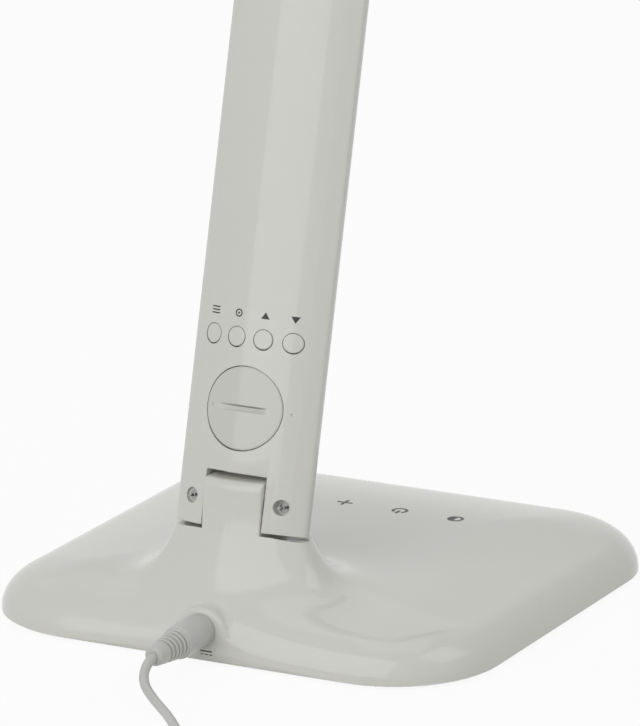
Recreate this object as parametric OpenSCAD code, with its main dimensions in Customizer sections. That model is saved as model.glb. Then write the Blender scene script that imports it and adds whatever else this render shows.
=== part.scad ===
// Folding desk lamp: a broad moulded base with touch keys, an arm with a clock
// in its foot and a slim light head, fed through a low-voltage cord.
// Millimetres. The base stands on z = 0 about the origin and the lamp's front
// looks along -Y. The arm leans forward at rest and the head points forward.

/* [Base] */
// Width of the base
base_w = 167.4; // [155:0.2:180]
// Depth of the base
base_d = 163; // [155:0.5:175]
// Corner radius of the base in plan
base_corner = 34.5; // [26:0.5:38]
// Height of the widest line of the base above the table
edge_z = 1.3; // [1.1:0.1:1.6]
// Height at which the side of the base has turned into its top
brow_z = 11.3; // [10.5:0.1:12.5]
// Distance over which the side turns into the top
brow_in = 13; // [10:0.5:15]
// Rise of the top from the brow to the middle
dome_rise = 6.5; // [5.5:0.1:7]
// Wall of the moulded shells
wall = 2; // [1.8:0.1:2.2]
// Steel counterweight: width, depth and thickness
weight_size = [116, 96, 6]; // [5:0.5:120]
// Rubber pad under the base: thickness
pad_t = 1; // [0.8:0.1:1.2]

/* [Lower hinge] */
// Distance of the hinge axis from the back edge of the base
hinge_inset = 29; // [28:0.5:32]
// Height of the hinge axis
hinge_z = 43.4; // [42:0.2:46]
// Diameter of the lower shaft
shaft_d = 8; // [7:0.2:8.4]
// Half width of the arm's notch
notch_w = 10.3; // [9.6:0.1:11]
// Distance from the hinge axis to the top of the notch
notch_v = 8.9; // [8.8:0.1:9.6]
// Gap between the tongue and each side of the notch
side_gap = 0.35; // [0.3:0.05:0.5]
// Radial clearance of a shaft in its bore
fit = 0.05; // [0.03:0.01:0.09]
// Gap between parts that move past each other
gap = 0.35; // [0.3:0.05:0.45]
// Forward lean of the arm at rest, in degrees
arm_lean = 14.4; // [6:0.2:20]

/* [Arm] */
// Distance between the two hinge axes
arm_l = 330; // [300:1:360]
// Width of the arm and the head
arm_w = 44.9; // [44:0.1:47]
// Radius of the arm's rounded back
arm_back_r = 35; // [34:0.5:40]
// Distance from the hinge axis to the arm's back
arm_back = 8; // [7.8:0.1:8.4]
// Distance from the hinge axis to the arm's front
arm_front = 7.5; // [7.4:0.1:8]
// Thickness of the arm's front cover
cover_t = 2.5; // [2.2:0.1:2.6]
// Distance from the hinge axis to the ears' lower ends
ear_end = 8.4; // [8:0.1:8.6]
// Distance of the ear screws from the middle
ear_screw_u = 15.4; // [15:0.1:16]

/* [Clock] */
// Height of the button row above the hinge axis
button_v = 50; // [48:0.5:56]
// Distance between the buttons
button_pitch = 9.1; // [8.8:0.1:9.4]
// Diameter of a button hole
button_hole_d = 6.5; // [6.2:0.1:6.8]
// Travel of a button
button_travel = 0.5; // [0.3:0.05:0.5]
// Height of the battery cover's middle above the hinge axis
battery_v = 28.5; // [28:0.5:30]
// Diameter of the battery cover's hole
battery_hole_d = 26.2; // [26:0.1:26.6]
// Coin cell: diameter and height
cell_size = [20, 3.2]; // [3:0.1:20]

/* [Head] */
// Distance from the upper axis to the tip of the head
head_l = 290; // [260:1:300]
// Thickness of the head
head_t = 11.5; // [11.2:0.1:12.5]
// Distance from the upper axis down to the arm's middle plane
head_axis_w = -1.5; // [-1.8:0.1:-1.3]
// Gap between the folded head and the arm
fold_gap = 1.5; // [1.2:0.1:2]
// Diameter of the upper shaft
upper_shaft_d = 6; // [5.6:0.1:6.2]
// Number of lamps in each of the two rows
led_count = 20; // [12:1:24]

/* [Cord] */
// Diameter of the cord
cord_d = 3; // [2.6:0.1:3]
// Space between the turns of the put-away coil
coil_gap = 0.5; // [0.45:0.05:0.8]
// Middle of the put-away coil
coil_at = [-64, 218]; // [-80:1:230]

/* [Hidden] */
$fn = 48;
hinge_y = base_d/2 - hinge_inset;
hinge_at = [0, hinge_y, hinge_z];
arm_a = arm_w/2;
head_at = hinge_at + [0, head_axis_w*cos(arm_lean) - arm_l*sin(arm_lean),
                      head_axis_w*sin(arm_lean) + arm_l*cos(arm_lean)];

// base levels and neck of the pedestal
rim_z = 0.6;
rim_in = 1.2;
plate_t = 2;
plate_z = pad_t;
plate_top = plate_z + plate_t;
plate_room = 0.2;
plate_in = wall + 1 + plate_room;
pad_in = 9;
brow_power = 2.2;
dome_run = 50;
sweep_room = 0.6;
notch_back = arm_back - arm_back_r + sqrt(pow(arm_back_r, 2) - pow(notch_w, 2));
ear_sweep = norm([notch_back, ear_end]) + sweep_room;
ear_taper = 1.4;
neck = [arm_a + 0.15, arm_back + 1.8, 4];
neck_z = hinge_z - ear_end + 1.2;
neck_front_z = hinge_z - arm_front - 1.6;
neck_bend = 22;
neck_spread = 33.2;
neck_crown = 380;
neck_hollow = 8;
flare = 7;
tongue_w = notch_w - side_gap;
tongue_r = notch_v - 2*gap;
tongue_back = arm_back + 0.3;
tongue_toe = [neck[1] + 0.25, neck_z - hinge_z - 1.4];
tongue_lap = 0.4;
ear_room = 0.5;
ear_cut = arm_a + ear_room - tongue_w + tongue_lap;
tongue_corner = 3;
tongue_foot = 14;
tongue_n = 4;
washer_r = 6.8;
washer_t = 0.8;
washer_room = 0.2;
upper_washer_r = 5;
post_in = 21;
post_r = 3.4;
post_top = 12.6;
post_cap = 2;
thread_r = 1.3;
base_screw_l = 7.5;
base_screw_h = 1.4;
base_screw_sink = 0.9;
weight_y = -8;
weight_corner = 6;

// rings of the base cover's skin
ring_in = 8;
ring_in_low = 6;
side_n = 6;
rise_n = 13;
inner_n = 12;
ring_power = 2.2;
ring_mid = 9;
corner_n = 8;
edge_n = 6;
bend_n = 12;

// supply socket and plug
jack_z = 10.4;
jack_in = 0.9;
jack_face = base_d/2 - jack_in;
boss_r = 9.2;
boss_z = 7.8;
boss_l = 22;
jack_size = [8, 12, 8.4];
jack_room = 12;
jack_wall = 2.2;
jack_bore = 2.8;
jack_depth = 10;
jack_back = jack_face - jack_wall - jack_size.y;
jack_top = jack_z + jack_size.z/2;
jack_foot = jack_z - jack_size.z/2;
pin_r = 1;
pin_l = 8;
barrel_r = 2.75;
barrel_bore = 1.2;
barrel_l = 13.4;
barrel_sink = 4;
barrel_room = 0.6;
plug_r = 5.2;
plug_grip = 15;
plug_l = 29.6;
plug_tip_r = 3;
plug_ribs = 5;
plug_relief = 9.5;
plug_edge = 0.5;
plug_y = jack_face + 0.1;
plug_room = 0.3;

// touch board under the front of the top
board_t = 1.2;
touch_in = 47.5;
touch_y = touch_in - base_d/2;
touch_pitch = 19.6;
touch_board = [84, 22];
standoff_r = 2.5;
standoff_in = 4;
weight_top = plate_top + weight_size.z;
touch_board_z = weight_top + 3.4;
spring_r = 4;
spring_room = 0.9;
wire_r = 0.8;
wire_x = 3;

// arm interior
seam_w = -arm_front + cover_t;
edge_r = 1.8;
front_r = 6.3;
front_c = [arm_a - front_r, front_r - arm_front];
front_turn = asin((front_r - cover_t)/front_r);
ear_v = 13;
arm_end_r = 11.3;
foot_r = 4;
shaft_r = shaft_d/2;
upper_shaft_r = upper_shaft_d/2;
shaft_half = 19.6;
shaft_flat = 0.5;
screw_r = 1.5;
screw_head_r = 2.15;
screw_head_h = 1.6;
bore_r = screw_head_r + 0.3;
ear_screw_l = 5;
seat_w = 2.2;
keeper = 5;
panel_t = 1.5;
board_w = seam_w + panel_t;
board_top = board_w + board_t;
clock_a = 18;
clock_v = [14, 70];
clock_hole_in = 2.4;
window = [15, 21, 63];
window_room = 0.1;
window_sink = 0.2;
panel_in = 0.6;
panel_over = 1;
post_u = 16.4;
clock_post_r = 1.6;
clock_thread_r = 0.8;
lip = [1.2, 1.7];
lip_sink = 0.2;
arm_wire_u = 6;
button_r = button_hole_d/2 - gap;
button_sink = 0.1;
button_flange = 0.9;
button_flange_w = [0.3, 0.9];
button_stem_r = 1.4;
button_stem = 0.15;
plunger_r = 1.2;
plunger_w = button_flange_w[0] - button_stem - button_travel - 0.3;
tact_a = 5;
tact_t = 1.2;
hole_r = battery_hole_d/2;
lid_r = hole_r - gap;
ledge_r = hole_r - 1.5;
ledge_w = [3.2, 4.5];
skirt_r = ledge_r - gap;
lug_r = hole_r - 0.75;
collar_r = hole_r + 2;
collar_w = 0.9;
lid_top = arm_back - 0.4;
lid_round = 45;
lid_open = 50;
lug_w = 5;
lug_t = 1.2;
slot_cut_r = 20;
slot_deep = 1.7;
slot_w = 2;
mark_r = 0.75;
mark_deep = 1.9;
mark_at = 2.6;
cell_r = cell_size[0]/2;
contact_r = 7;
contact_t = 0.3;
cell_w = board_top + contact_t;
cup_w = 0.55;
cup_t = 1;
cell_room = 0.15;

// head levels, measured from the upper axis
head_low = arm_front + head_axis_w + fold_gap;
head_top = head_low + head_t;
bezel_t = 1.8;
bezel_top = head_low + bezel_t;
head_p0 = 12;
head_corner = 8;
head_round = 65;
light_p = [40, 272];
light_a = 17;
light_room = 0.1;
light_sink = 0.2;
flange = 1.8;
flange_t = 0.8;
lamp_size = [2.8, 0.8, 3.5];
lamp_end = 8;
lamp_slot = [3.6, 5];
led_board_in = 2;
led_z = bezel_top + 4.1;
led_board_a = 11;
led_row_u = 5;
sheet_t = 0.3;
rib_p = [62, 156, 250];
rib_size = [16, 3];
neck_r = 7.5;
neck_plate = [9.5, bezel_top + 0.9, 12.9, 34];
neck_room = 0.1;
neck_screw_at = [6, 22];
bezel_screw_u = 15;
bezel_screw_p = [27, head_l - 9];
stud_r = 2.4;
skin_t = 2.6;
small_r = 1;
small_head_r = 1.9;
small_head_h = 0.9;
bezel_sink = 1.1;

// cord
cord_r = cord_d/2;
tie_t = 0.8;
coil_z = tie_t + 0.2 + cord_r;
coil_pitch = cord_d + coil_gap;
coil_turns = 3;
coil_layers = 4;
coil_loops = coil_turns*coil_layers;
coil_mid = 11.7*cord_r;
coil_r = coil_mid - coil_turns*coil_pitch/2;
coil_out = coil_r + coil_turns*coil_pitch;
loop_rings = 24;
cord_points = [
    [0, plug_y + plug_l, jack_z], [-0.3, plug_y + plug_l + 4, 9.4], [-1.4, 118.6, 7.4],
    [-3.8, 122, 5.4], [-7.2, 124.8, 3.8], [-11.2, 127.8, 2.5], [-16.5, 132.4, cord_r + 0.2],
    [-23.2, 139.9, cord_r], [-30, 149, cord_r], [-36.5, 163, cord_r],
    [coil_at.x + coil_out + 2, 180, cord_r + 0.1], [coil_at.x + coil_out + 0.2, 198, coil_z - 0.3],
    [coil_at.x + coil_out, coil_at.y - cord_d, coil_z]];
coil_top = coil_z + (coil_layers - 1)*coil_pitch;
tail_end = 125;
tail_out = 11;
tail_n = 6;
tie_w = 6;
tie_room = 0.9;
usb_size = [22, 15.6, 8];
usb_shell_size = [18.7, 12, 4.5];
usb_wall = 0.3;
usb_insert_size = [17.6, 1.9];
// the tail leaves the top layer along a wider spiral and comes down to the plug
function tail_point(t) = let (g = t*t*(3 - 2*t), a = tail_end*t, r = coil_out + tail_out*g)
    [coil_at.x + r*cos(a), coil_at.y + r*sin(a), coil_top + (usb_size.z/2 - coil_top)*g];
tail_points = concat([for (i = [1, 2]) [coil_at.x + coil_out, coil_at.y + i*cord_d, coil_top]],
    [for (i = [1:tail_n]) tail_point(0.14 + 0.86*i/tail_n)]);
usb_at = tail_points[len(tail_points) - 1];

// Frames: u across, w towards the back and v along the arm; in the head u
// across, q up and p along the head.
module in_arm() { translate(hinge_at) rotate([arm_lean, 0, 0]) children(); }
module in_head() { translate(head_at) rotate([90, 0, 0]) children(); }

// Places that repeat: the posts of the base and the screws of clock, lamps and head.
module at_posts() {
    for (x = [-1, 1], y = [-1, 1]) translate([x*(base_w/2 - post_in), y*(base_d/2 - post_in), 0]) children();
}
module at_clock_posts() {
    for (s = [-1, 1], v = [clock_v[0] + clock_hole_in, clock_v[1] - clock_hole_in])
        translate([s*post_u, 0, v]) children();
}
module at_buttons() { for (i = [-1.5:1.5]) translate([i*button_pitch, 0, button_v]) children(); }
module at_ribs() { for (p = rib_p) translate([0, 0, p]) children(); }
module at_neck_screws() {
    for (s = [-1, 1]) translate([s*neck_screw_at[0], 0, neck_screw_at[1]]) children();
}
module at_bezel_screws() {
    for (s = [-1, 1], p = bezel_screw_p) translate([s*bezel_screw_u, 0, p]) children();
}

// Cylinder along X, centred, and cylinder along the second axis from a to b.
module along_x(r, h) { rotate([0, 90, 0]) cylinder(r = r, h = h, center = true); }
module along_w(r, a, b) { translate([0, a, 0]) rotate([-90, 0, 0]) cylinder(r = r, h = b - a); }

// Points of an arc, a rounded rectangle and the D-shaped section of arm and head.
function arc(c, r, a0, a1, n) = [for (i = [0:n]) let (a = a0 + (a1 - a0)*i/n) c + r*[cos(a), sin(a)]];
function rounded(a, b, r) = [for (k = [0:3]) each arc([(k == 0 || k == 3 ? 1 : -1)*(a - r),
    (k < 2 ? 1 : -1)*(b - r)], r, 90*k, 90*k + 90, 8)];
function section(a, top, round_r, r, low) =
    let (c = top - round_r, x = a - r, y = c + sqrt(pow(round_r - r, 2) - x*x), g = asin(x/(round_r - r)))
    concat([[-a, low], [a, low]], arc([x, y], r, 0, 90 - g, 5),
           [for (i = [1:27]) [0, c] + round_r*[sin(g - 2*g*i/28), cos(g - 2*g*i/28)]],
           arc([-x, y], r, 90 + g, 180, 5));

// Outlines of the arm's two halves, which share its rounded front corners.
function rear_outline() = let (s = section(arm_a, arm_back, arm_back_r, edge_r, seam_w)) concat(
    arc([-front_c.x, front_c.y], front_r, 180, 180 + front_turn, 4),
    arc(front_c, front_r, -front_turn, 0, 4), [for (i = [2:len(s) - 1]) s[i]]);
function front_outline() = concat(
    arc([-front_c.x, front_c.y], front_r, 180 + front_turn, 270, 6),
    arc(front_c, front_r, 270, 360 - front_turn, 6));

// Skin over a list of point rings, closed at both ends by a fan of triangles.
function middle(ps) = [for (i = [0:len(ps) - 1]) 1]*ps/len(ps);
module skin(rings) {
    n = len(rings[0]);
    m = len(rings);
    ends = [middle(rings[0]), middle(rings[m - 1])];
    polyhedron(points = concat([for (r = rings) each r], ends), convexity = 6,
        faces = [for (i = [0:n - 1]) let (j = (i + 1)%n) each concat(
            [[m*n, i, j], [m*n + 1, (m - 1)*n + j, (m - 1)*n + i]],
            [for (k = [0:m - 2]) let (a = k*n, b = a + n)
                each [[a + i, b + i, b + j], [a + i, b + j, a + j]]])]);
}

// Height of the base cover over a plan point; off > 0 gives its inner side. The
// top of the neck slopes to the front, where the arm lies over it when folded, and
// its back is bent as the arm's is: bent() straightens a point and unbent() bends it.
function clamp01(x) = min(max(x, 0), 1);
function box_dist(p, a, b, r) = let (x = abs(p.x) - a + r, y = abs(p.y) - b + r)
    norm([max(x, 0), max(y, 0)]) + min(max(x, y), 0) - r;
function bend(x) = neck_bend*(1 - exp(-pow(x/neck_spread, 2)));
function bend_share(y) = let (t = clamp01(0.5 + y/(2*neck[1]))) t*t*(3 - 2*t);
function bent(q) = [q.x, q.y + bend(q.x)*bend_share(q.y)];
function unbent(q, y, n) = n == 0 ? [q.x, y] : unbent(q, q.y - bend(q.x)*bend_share(y), n - 1);
function cover_z(p, off) =
    let (d = -box_dist(p, base_w/2 - off, base_d/2 - off, base_corner - off),
         side = pow(1 - pow(1 - clamp01(d/brow_in), brow_power), 1/brow_power),
         slab = edge_z + (brow_z - edge_z)*side + dome_rise*(1 - pow(1 - clamp01(d/dome_run), 2)),
         e = max(box_dist(bent(p - [0, hinge_y]), neck[0] - off, neck[1] - off, neck[2] - off), 0),
         k = exp(-e/flare),
         top = neck_front_z - p.x*p.x/neck_crown
             + (neck_z - neck_front_z)*clamp01(0.5 + (p.y - hinge_y)/(2*neck[1])))
    slab*(1 - k) + (off > 0 ? top - neck_hollow : top)*k - off*1.1;

// Closed loop of plan points on a rounded rectangle, edges divided too.
function loop_corner(a, b, r, k, i) = [(k == 0 || k == 3 ? 1 : -1)*(a - r) + r*cos(90*k + 90*i/corner_n),
    (k < 2 ? 1 : -1)*(b - r) + r*sin(90*k + 90*i/corner_n)];
function loop(a, b, r) = [for (k = [0:3]) let (e = loop_corner(a, b, r, k, corner_n),
        s = loop_corner(a, b, r, (k + 1)%4, 0))
    each concat([for (i = [0:corner_n]) loop_corner(a, b, r, k, i)],
                [for (j = [1:edge_n - 1]) e + (s - e)*j/edge_n])];
function base_loop(ins) = loop(base_w/2 - ins, base_d/2 - ins, base_corner - ins);
function neck_loop(off) = [for (p = loop(neck[0] - off, neck[1] - off, neck[2] - off))
    unbent(p, p.y, bend_n) + [0, hinge_y]];
function lift(ps, off) = [for (p = ps) [p.x, p.y, cover_z(p, off)]];
function level(ps, z) = [for (p = ps) [p.x, p.y, z]];
function between(ps, qs, t) = [for (i = [0:len(ps) - 1])
    let (a = max(1.02, norm(ps[i] - qs[i])/ring_mid - 1), g = (pow(a, 2*t) - 1)/(a*a - 1))
    qs[i] + (ps[i] - qs[i])*g];
function outer_rings() = concat([level(base_loop(rim_in), rim_z)],
    [for (i = [0:side_n]) lift(base_loop(ring_in*pow(i/side_n, ring_power)), 0)],
    [for (t = [rise_n - 1:-1:0]) lift(between(base_loop(ring_in), neck_loop(0), t/rise_n), 0)]);
function inner_rings() = concat(
    [for (t = [0:inner_n])
        lift(between(base_loop(wall + ring_in_low), neck_loop(wall), t/(inner_n + 0.5)), wall)],
    [for (i = [4:-1:1]) lift(base_loop(wall + ring_in_low*pow(i/4, ring_power)), wall)],
    [level(base_loop(wall + 0.1), rim_z)]);
module base_plan(d) { polygon(rounded(base_w/2 - d, base_d/2 - d, base_corner - d)); }

// Tongue of the lower hinge in the Y-Z plane about the axis: round in front,
// where the notch turns over it, and flush with the flare at the back, bent as it is.
function tongue() = concat(arc([0, 0], tongue_r, 90, 180, 12),
    [[-tongue_r, -tongue_foot], [tongue_toe.x, -tongue_foot], tongue_toe],
    arc([tongue_back - tongue_corner, tongue_r - tongue_corner], tongue_corner, 0, 90, 8));
function tongue_rings() = [for (i = [-tongue_n:tongue_n]) let (x = tongue_w*i/tongue_n)
    [for (q = tongue()) let (b = q.x > 0 ? unbent([x, q.x], q.x, bend_n).y : q.x) [x, b, q.y]]];

module base_cover() {
    color("Gainsboro") difference() {
        union() {
            difference() {
                skin(concat(inner_rings(), outer_rings()));
                // room for the ears, which narrows outwards as they do
                for (s = [-1, 1]) translate(hinge_at) rotate([0, 90*s, 0])
                    translate([0, 0, tongue_w - tongue_lap])
                        cylinder(r1 = ear_sweep, r2 = ear_sweep - ear_taper, h = ear_cut);
            }
            translate(hinge_at) skin(tongue_rings());
            // boss round the supply socket
            intersection() {
                translate([0, 0, boss_z]) along_w(boss_r, jack_face - boss_l, jack_face);
                translate([-base_w/2, 0, rim_z]) cube([base_w, base_d, boss_z + boss_r]);
            }
            translate([-boss_r, jack_face - boss_l, rim_z]) cube([2*boss_r, boss_l, boss_z - rim_z]);
            at_posts() translate([0, 0, plate_top]) cylinder(r = post_r, h = post_top - plate_top);
        }
        // room for the base plate
        translate([0, 0, -1]) linear_extrude(plate_top + 1) base_plan(plate_in - plate_room);
        // bore of the lower hinge and the washers' recesses
        translate(hinge_at) along_x(shaft_r + fit, 3*tongue_w);
        for (s = [-1, 1]) translate(hinge_at + [s*(tongue_w + 1), 0, 0])
            along_x(washer_r + washer_room, 2 + 2*(washer_t - side_gap + fit));
        // seat of the plug, hole for its barrel and room for the socket
        translate([0, 0, jack_z]) {
            along_w(plug_r + plug_room, jack_face, base_d);
            along_w(barrel_r + barrel_room, jack_face - boss_l/2, base_d);
        }
        translate([-jack_size.x/2, jack_back - jack_room, 0])
            cube([jack_size.x, jack_size.y + jack_room, jack_top]);
        at_posts() cylinder(r = thread_r, h = post_top - post_cap);
    }
}

module base_plate() {
    color("DimGray") difference() {
        union() {
            translate([0, 0, plate_z]) linear_extrude(plate_t) base_plan(plate_in);
            // shelf under the supply socket
            translate([-jack_size.x/2 + 2*plate_room, jack_back, plate_top - 0.1])
                cube([jack_size.x - 4*plate_room, jack_size.y, jack_foot - plate_top + 0.1]);
        }
        at_posts() {
            cylinder(r = thread_r + plate_room, h = 3*plate_top);
            cylinder(r = screw_head_r + plate_room, h = plate_z + base_screw_sink);
        }
    }
}

module base_pad() {
    color("DarkSlateGray") linear_extrude(pad_t) difference() {
        base_plan(pad_in);
        at_posts() circle(r = screw_head_r + screw_r);
    }
}

// Cross-recessed screw along +Z with the underside of its head at z = 0.
module screw(r, head_r, head_h, l) {
    difference() {
        union() {
            translate([0, 0, -l]) cylinder(r = r, h = l + 0.2);
            cylinder(r1 = head_r, r2 = head_r*0.72, h = head_h);
        }
        for (a = [0, 90]) rotate([0, 0, a])
            translate([-head_r*0.55, -head_r*0.13, head_h*0.4]) cube([head_r*1.1, head_r*0.26, head_h]);
    }
}

module base_screws() {
    color("Silver") at_posts() translate([0, 0, plate_z + base_screw_sink]) rotate([180, 0, 0])
        screw(thread_r, screw_head_r, base_screw_h, base_screw_l);
}

module counterweight() {
    color("SlateGray") translate([0, weight_y, plate_top]) linear_extrude(weight_size.z)
        polygon(rounded(weight_size.x/2, weight_size.y/2, weight_corner));
}

module board_standoffs() {
    at = touch_board/2 - [standoff_in, standoff_in];
    color("Goldenrod") for (x = [-1, 1], y = [-1, 1])
        translate([x*at.x, touch_y + y*at.y, weight_top])
            cylinder(r = standoff_r, h = touch_board_z - weight_top);
}

module touch_board() {
    color("DarkGreen") translate([0, touch_y, touch_board_z + board_t/2])
        cube([touch_board.x, touch_board.y, board_t], center = true);
}

module touch_springs() {
    foot = touch_board_z + board_t;
    color("Gold") for (i = [-1.5:1.5]) let (at = [i*touch_pitch, touch_y],
            low = min([for (x = [-1, 1], y = [-1, 1]) cover_z(at + spring_r*[x, y], wall)]))
        translate([at.x, at.y, foot]) cylinder(r = spring_r, h = low - spring_room - foot);
}

module dc_jack() {
    color("Black") difference() {
        translate([-jack_size.x/2 + fit, jack_back, jack_foot])
            cube([jack_size.x - 2*fit, jack_size.y, jack_size.z - fit]);
        translate([0, 0, jack_z]) along_w(jack_bore, jack_face - jack_wall - jack_depth, jack_face);
    }
}

module jack_pin() {
    a = jack_face - jack_wall - jack_depth;
    color("Silver") translate([0, 0, jack_z]) along_w(pin_r, a, a + pin_l);
}

module base_wire() {
    low = weight_top + 1.5*wire_r;
    end = [touch_y + touch_board.y/2, touch_board_z + board_t/2];
    color("Red") tube(curve([for (q = [[jack_back, jack_z - pin_r], [jack_back - 6, jack_z - pin_r],
        [jack_back - 20, low], [(jack_back + end[0])/2, low], [end[0] + 12, low],
        [end[0] + 4, end[1]], end]) [wire_x, q[0], q[1]]], 2), wire_r, 6);
}

module washer(r, bore, t) {
    rotate([0, 90, 0]) difference() {
        cylinder(r = r, h = t, center = true);
        cylinder(r = bore, h = 2*t, center = true);
    }
}

module lower_washers() {
    color("Silver") for (s = [-1, 1])
        translate(hinge_at + [s*(notch_w - fit - washer_t/2), 0, 0])
            washer(washer_r, shaft_r + fit, washer_t);
}

// Hinge shaft with flattened ends, cross-tapped for the ear screws.
module hinge_shaft(r) {
    difference() {
        along_x(r, 2*shaft_half);
        for (s = [-1, 1]) {
            translate([s*(notch_w - fit + shaft_half/2), shaft_flat + r, 0])
                cube([shaft_half, 2*r, 3*r], center = true);
            translate([s*ear_screw_u, 0, 0]) along_w(screw_r, -2*r, 2*r);
        }
    }
}

module lower_shaft() { color("LightSlateGray") in_arm() hinge_shaft(shaft_r); }

module ear_screws(l) {
    for (s = [-1, 1]) translate([s*ear_screw_u, seat_w, 0]) rotate([-90, 0, 0])
        screw(screw_r, screw_head_r, screw_head_h, l);
}

module lower_screws() { color("Silver") in_arm() ear_screws(ear_screw_l); }

// Cutter that rounds the upper end of the arm about the upper axis.
module top_trim() {
    difference() {
        translate([-arm_w, -2*arm_front, arm_l]) cube([2*arm_w, 4*arm_front, 2*arm_end_r]);
        translate([0, head_axis_w, arm_l]) along_x(arm_end_r, 3*arm_w);
    }
}

// Cutter that rounds the ears' lower front edge, so that it turns in the neck.
module foot_trim() {
    difference() {
        translate([-arm_w, -2*arm_front, -2*ear_end]) cube([2*arm_w, arm_front + foot_r, ear_end + foot_r]);
        translate([0, foot_r - arm_front, foot_r - ear_end]) along_x(foot_r, 3*arm_w);
    }
}

// Both notches for the tongues of base and head.
module notches() {
    translate([-notch_w, -2*arm_back, -2*ear_end]) cube([2*notch_w, 4*arm_back, 2*ear_end + notch_v]);
    translate([-notch_w, -2*arm_back, arm_l - notch_v]) cube([2*notch_w, 4*arm_back, 4*notch_v]);
}

// Seats of a hinge shaft in both ears, open to the front.
module shaft_seats(r, w, v) {
    deep = w + shaft_flat - seam_w + 1;
    for (s = [-1, 1]) translate([s*(notch_w + shaft_half)/2, w + shaft_flat - deep/2, v])
        cube([shaft_half - notch_w + fit/2, deep, 2*r], center = true);
}

// Keepers that hold a hinge shaft in its seats.
module keepers(r, w, v) {
    h = w - r - seam_w + fit;
    for (s = [-1, 1]) translate([s*ear_screw_u, w - r - h/2, v]) cube([keeper, h, keeper], center = true);
}

module arm_rear_shell() {
    color("Gainsboro") in_arm() difference() {
        union() {
            difference() {
                translate([0, 0, -ear_end]) linear_extrude(arm_l + ear_end + arm_end_r)
                    polygon(rear_outline());
                translate([0, 0, ear_v]) linear_extrude(arm_l - 2*ear_v)
                    polygon(section(arm_a - wall, arm_back - wall, arm_back_r - wall, 0.4, seam_w - 1));
            }
            // collar for the battery cover
            intersection() {
                translate([0, 0, battery_v]) along_w(collar_r, collar_w, arm_back);
                translate([0, 0, ear_v]) linear_extrude(arm_l/2)
                    polygon(section(arm_a - wall/2, arm_back - wall/2, arm_back_r - wall/2, 0.6, seam_w));
            }
        }
        notches();
        top_trim();
        foot_trim();
        shaft_seats(shaft_r, 0, 0);
        shaft_seats(upper_shaft_r, head_axis_w, arm_l);
        for (s = [-1, 1], v = [0, arm_l]) translate([s*ear_screw_u, 0, v]) {
            along_w(screw_r, -ear_screw_l, arm_back);
            along_w(bore_r, seat_w, 2*arm_back);
        }
        at_buttons() along_w(button_hole_d/2, 0, 2*arm_back);
        translate([0, 0, battery_v]) {
            along_w(hole_r, ledge_w[1], 2*arm_back);
            along_w(ledge_r, 0, 2*arm_back);
            along_w(lug_r + gap, 0, ledge_w[0]);
            // entries for the lugs of the cover
            rotate([0, lid_open, 0]) for (s = [-1, 1])
                translate([0, (ledge_w[0] + ledge_w[1])/2, s*(ledge_r + lug_r)/2])
                    cube([lug_w + 2*gap, 2*(ledge_w[1] - ledge_w[0]), lug_r - ledge_r + 1], center = true);
        }
        // mark beside the battery cover
        translate([-hole_r - mark_at, 0, battery_v]) rotate([0, 180, 0])
            rotate([-90, 0, 0]) cylinder(r = mark_r, h = ledge_w[1] - mark_r/2, $fn = 3);
    }
}

module arm_front_cover() {
    a = arm_a - wall;
    color("Gainsboro") in_arm() difference() {
        union() {
            translate([0, 0, -ear_end]) linear_extrude(arm_l + ear_end + arm_end_r)
                polygon(front_outline());
            // lips inside the rear shell
            for (s = [-1, 1]) translate([s*(a - lip.x/2), seam_w + lip.y/2 - lip_sink, arm_l/2])
                cube([lip.x, lip.y, arm_l - 2*ear_v - 2], center = true);
            keepers(shaft_r, 0, 0);
            keepers(upper_shaft_r, head_axis_w, arm_l);
            at_clock_posts() along_w(clock_post_r, seam_w - cover_t/2, board_w);
        }
        notches();
        top_trim();
        foot_trim();
        translate([-window[0], -2*arm_front, window[1]])
            cube([2*window[0], 3*arm_front, window[2] - window[1]]);
        at_clock_posts() along_w(clock_thread_r, seam_w - cover_t/2, board_top);
    }
}

module display_window() {
    color("DarkSlateBlue") in_arm()
        translate([-window[0] + window_room, -arm_front + window_sink, window[1] + window_room])
            cube([2*(window[0] - window_room), cover_t - window_sink, window[2] - window[1] - 2*window_room]);
}

module display_panel() {
    color("DarkSeaGreen") in_arm() translate([-window[0] + panel_in, seam_w, window[1] - panel_over])
        cube([2*(window[0] - panel_in), panel_t, window[2] - window[1] + 2*panel_over]);
}

module clock_board() {
    color("DarkGreen") in_arm() difference() {
        translate([-clock_a, board_w, clock_v[0]]) cube([2*clock_a, board_t, clock_v[1] - clock_v[0]]);
        at_clock_posts() along_w(small_r, board_w - 1, board_top + 1);
    }
}

module board_screws() {
    color("Silver") in_arm() at_clock_posts() translate([0, board_top, 0]) rotate([-90, 0, 0])
        screw(clock_thread_r, clock_post_r, small_head_h, 2*board_t);
}

module tact_switches() {
    color("DimGray") in_arm() at_buttons() {
        translate([0, board_top + tact_t/2, 0]) cube([tact_a, tact_t, tact_a], center = true);
        along_w(plunger_r, board_top, plunger_w);
    }
}

// Button cap with its flange behind the shell.
module button(i) {
    color("Gainsboro") in_arm() translate([i*button_pitch, 0, button_v]) {
        intersection() {
            along_w(button_r, button_flange_w[0], 2*arm_back);
            translate([-i*button_pitch, arm_back - arm_back_r, -button_hole_d])
                cylinder(r = arm_back_r - button_sink, h = 2*button_hole_d, $fn = 96);
        }
        along_w(button_r + button_flange, button_flange_w[0], button_flange_w[1]);
        along_w(button_stem_r, button_flange_w[0] - button_stem, button_flange_w[1]);
    }
}

module button_mode() { button(1.5); }
module button_set() { button(0.5); }
module button_up() { button(-0.5); }
module button_down() { button(-1.5); }

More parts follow.
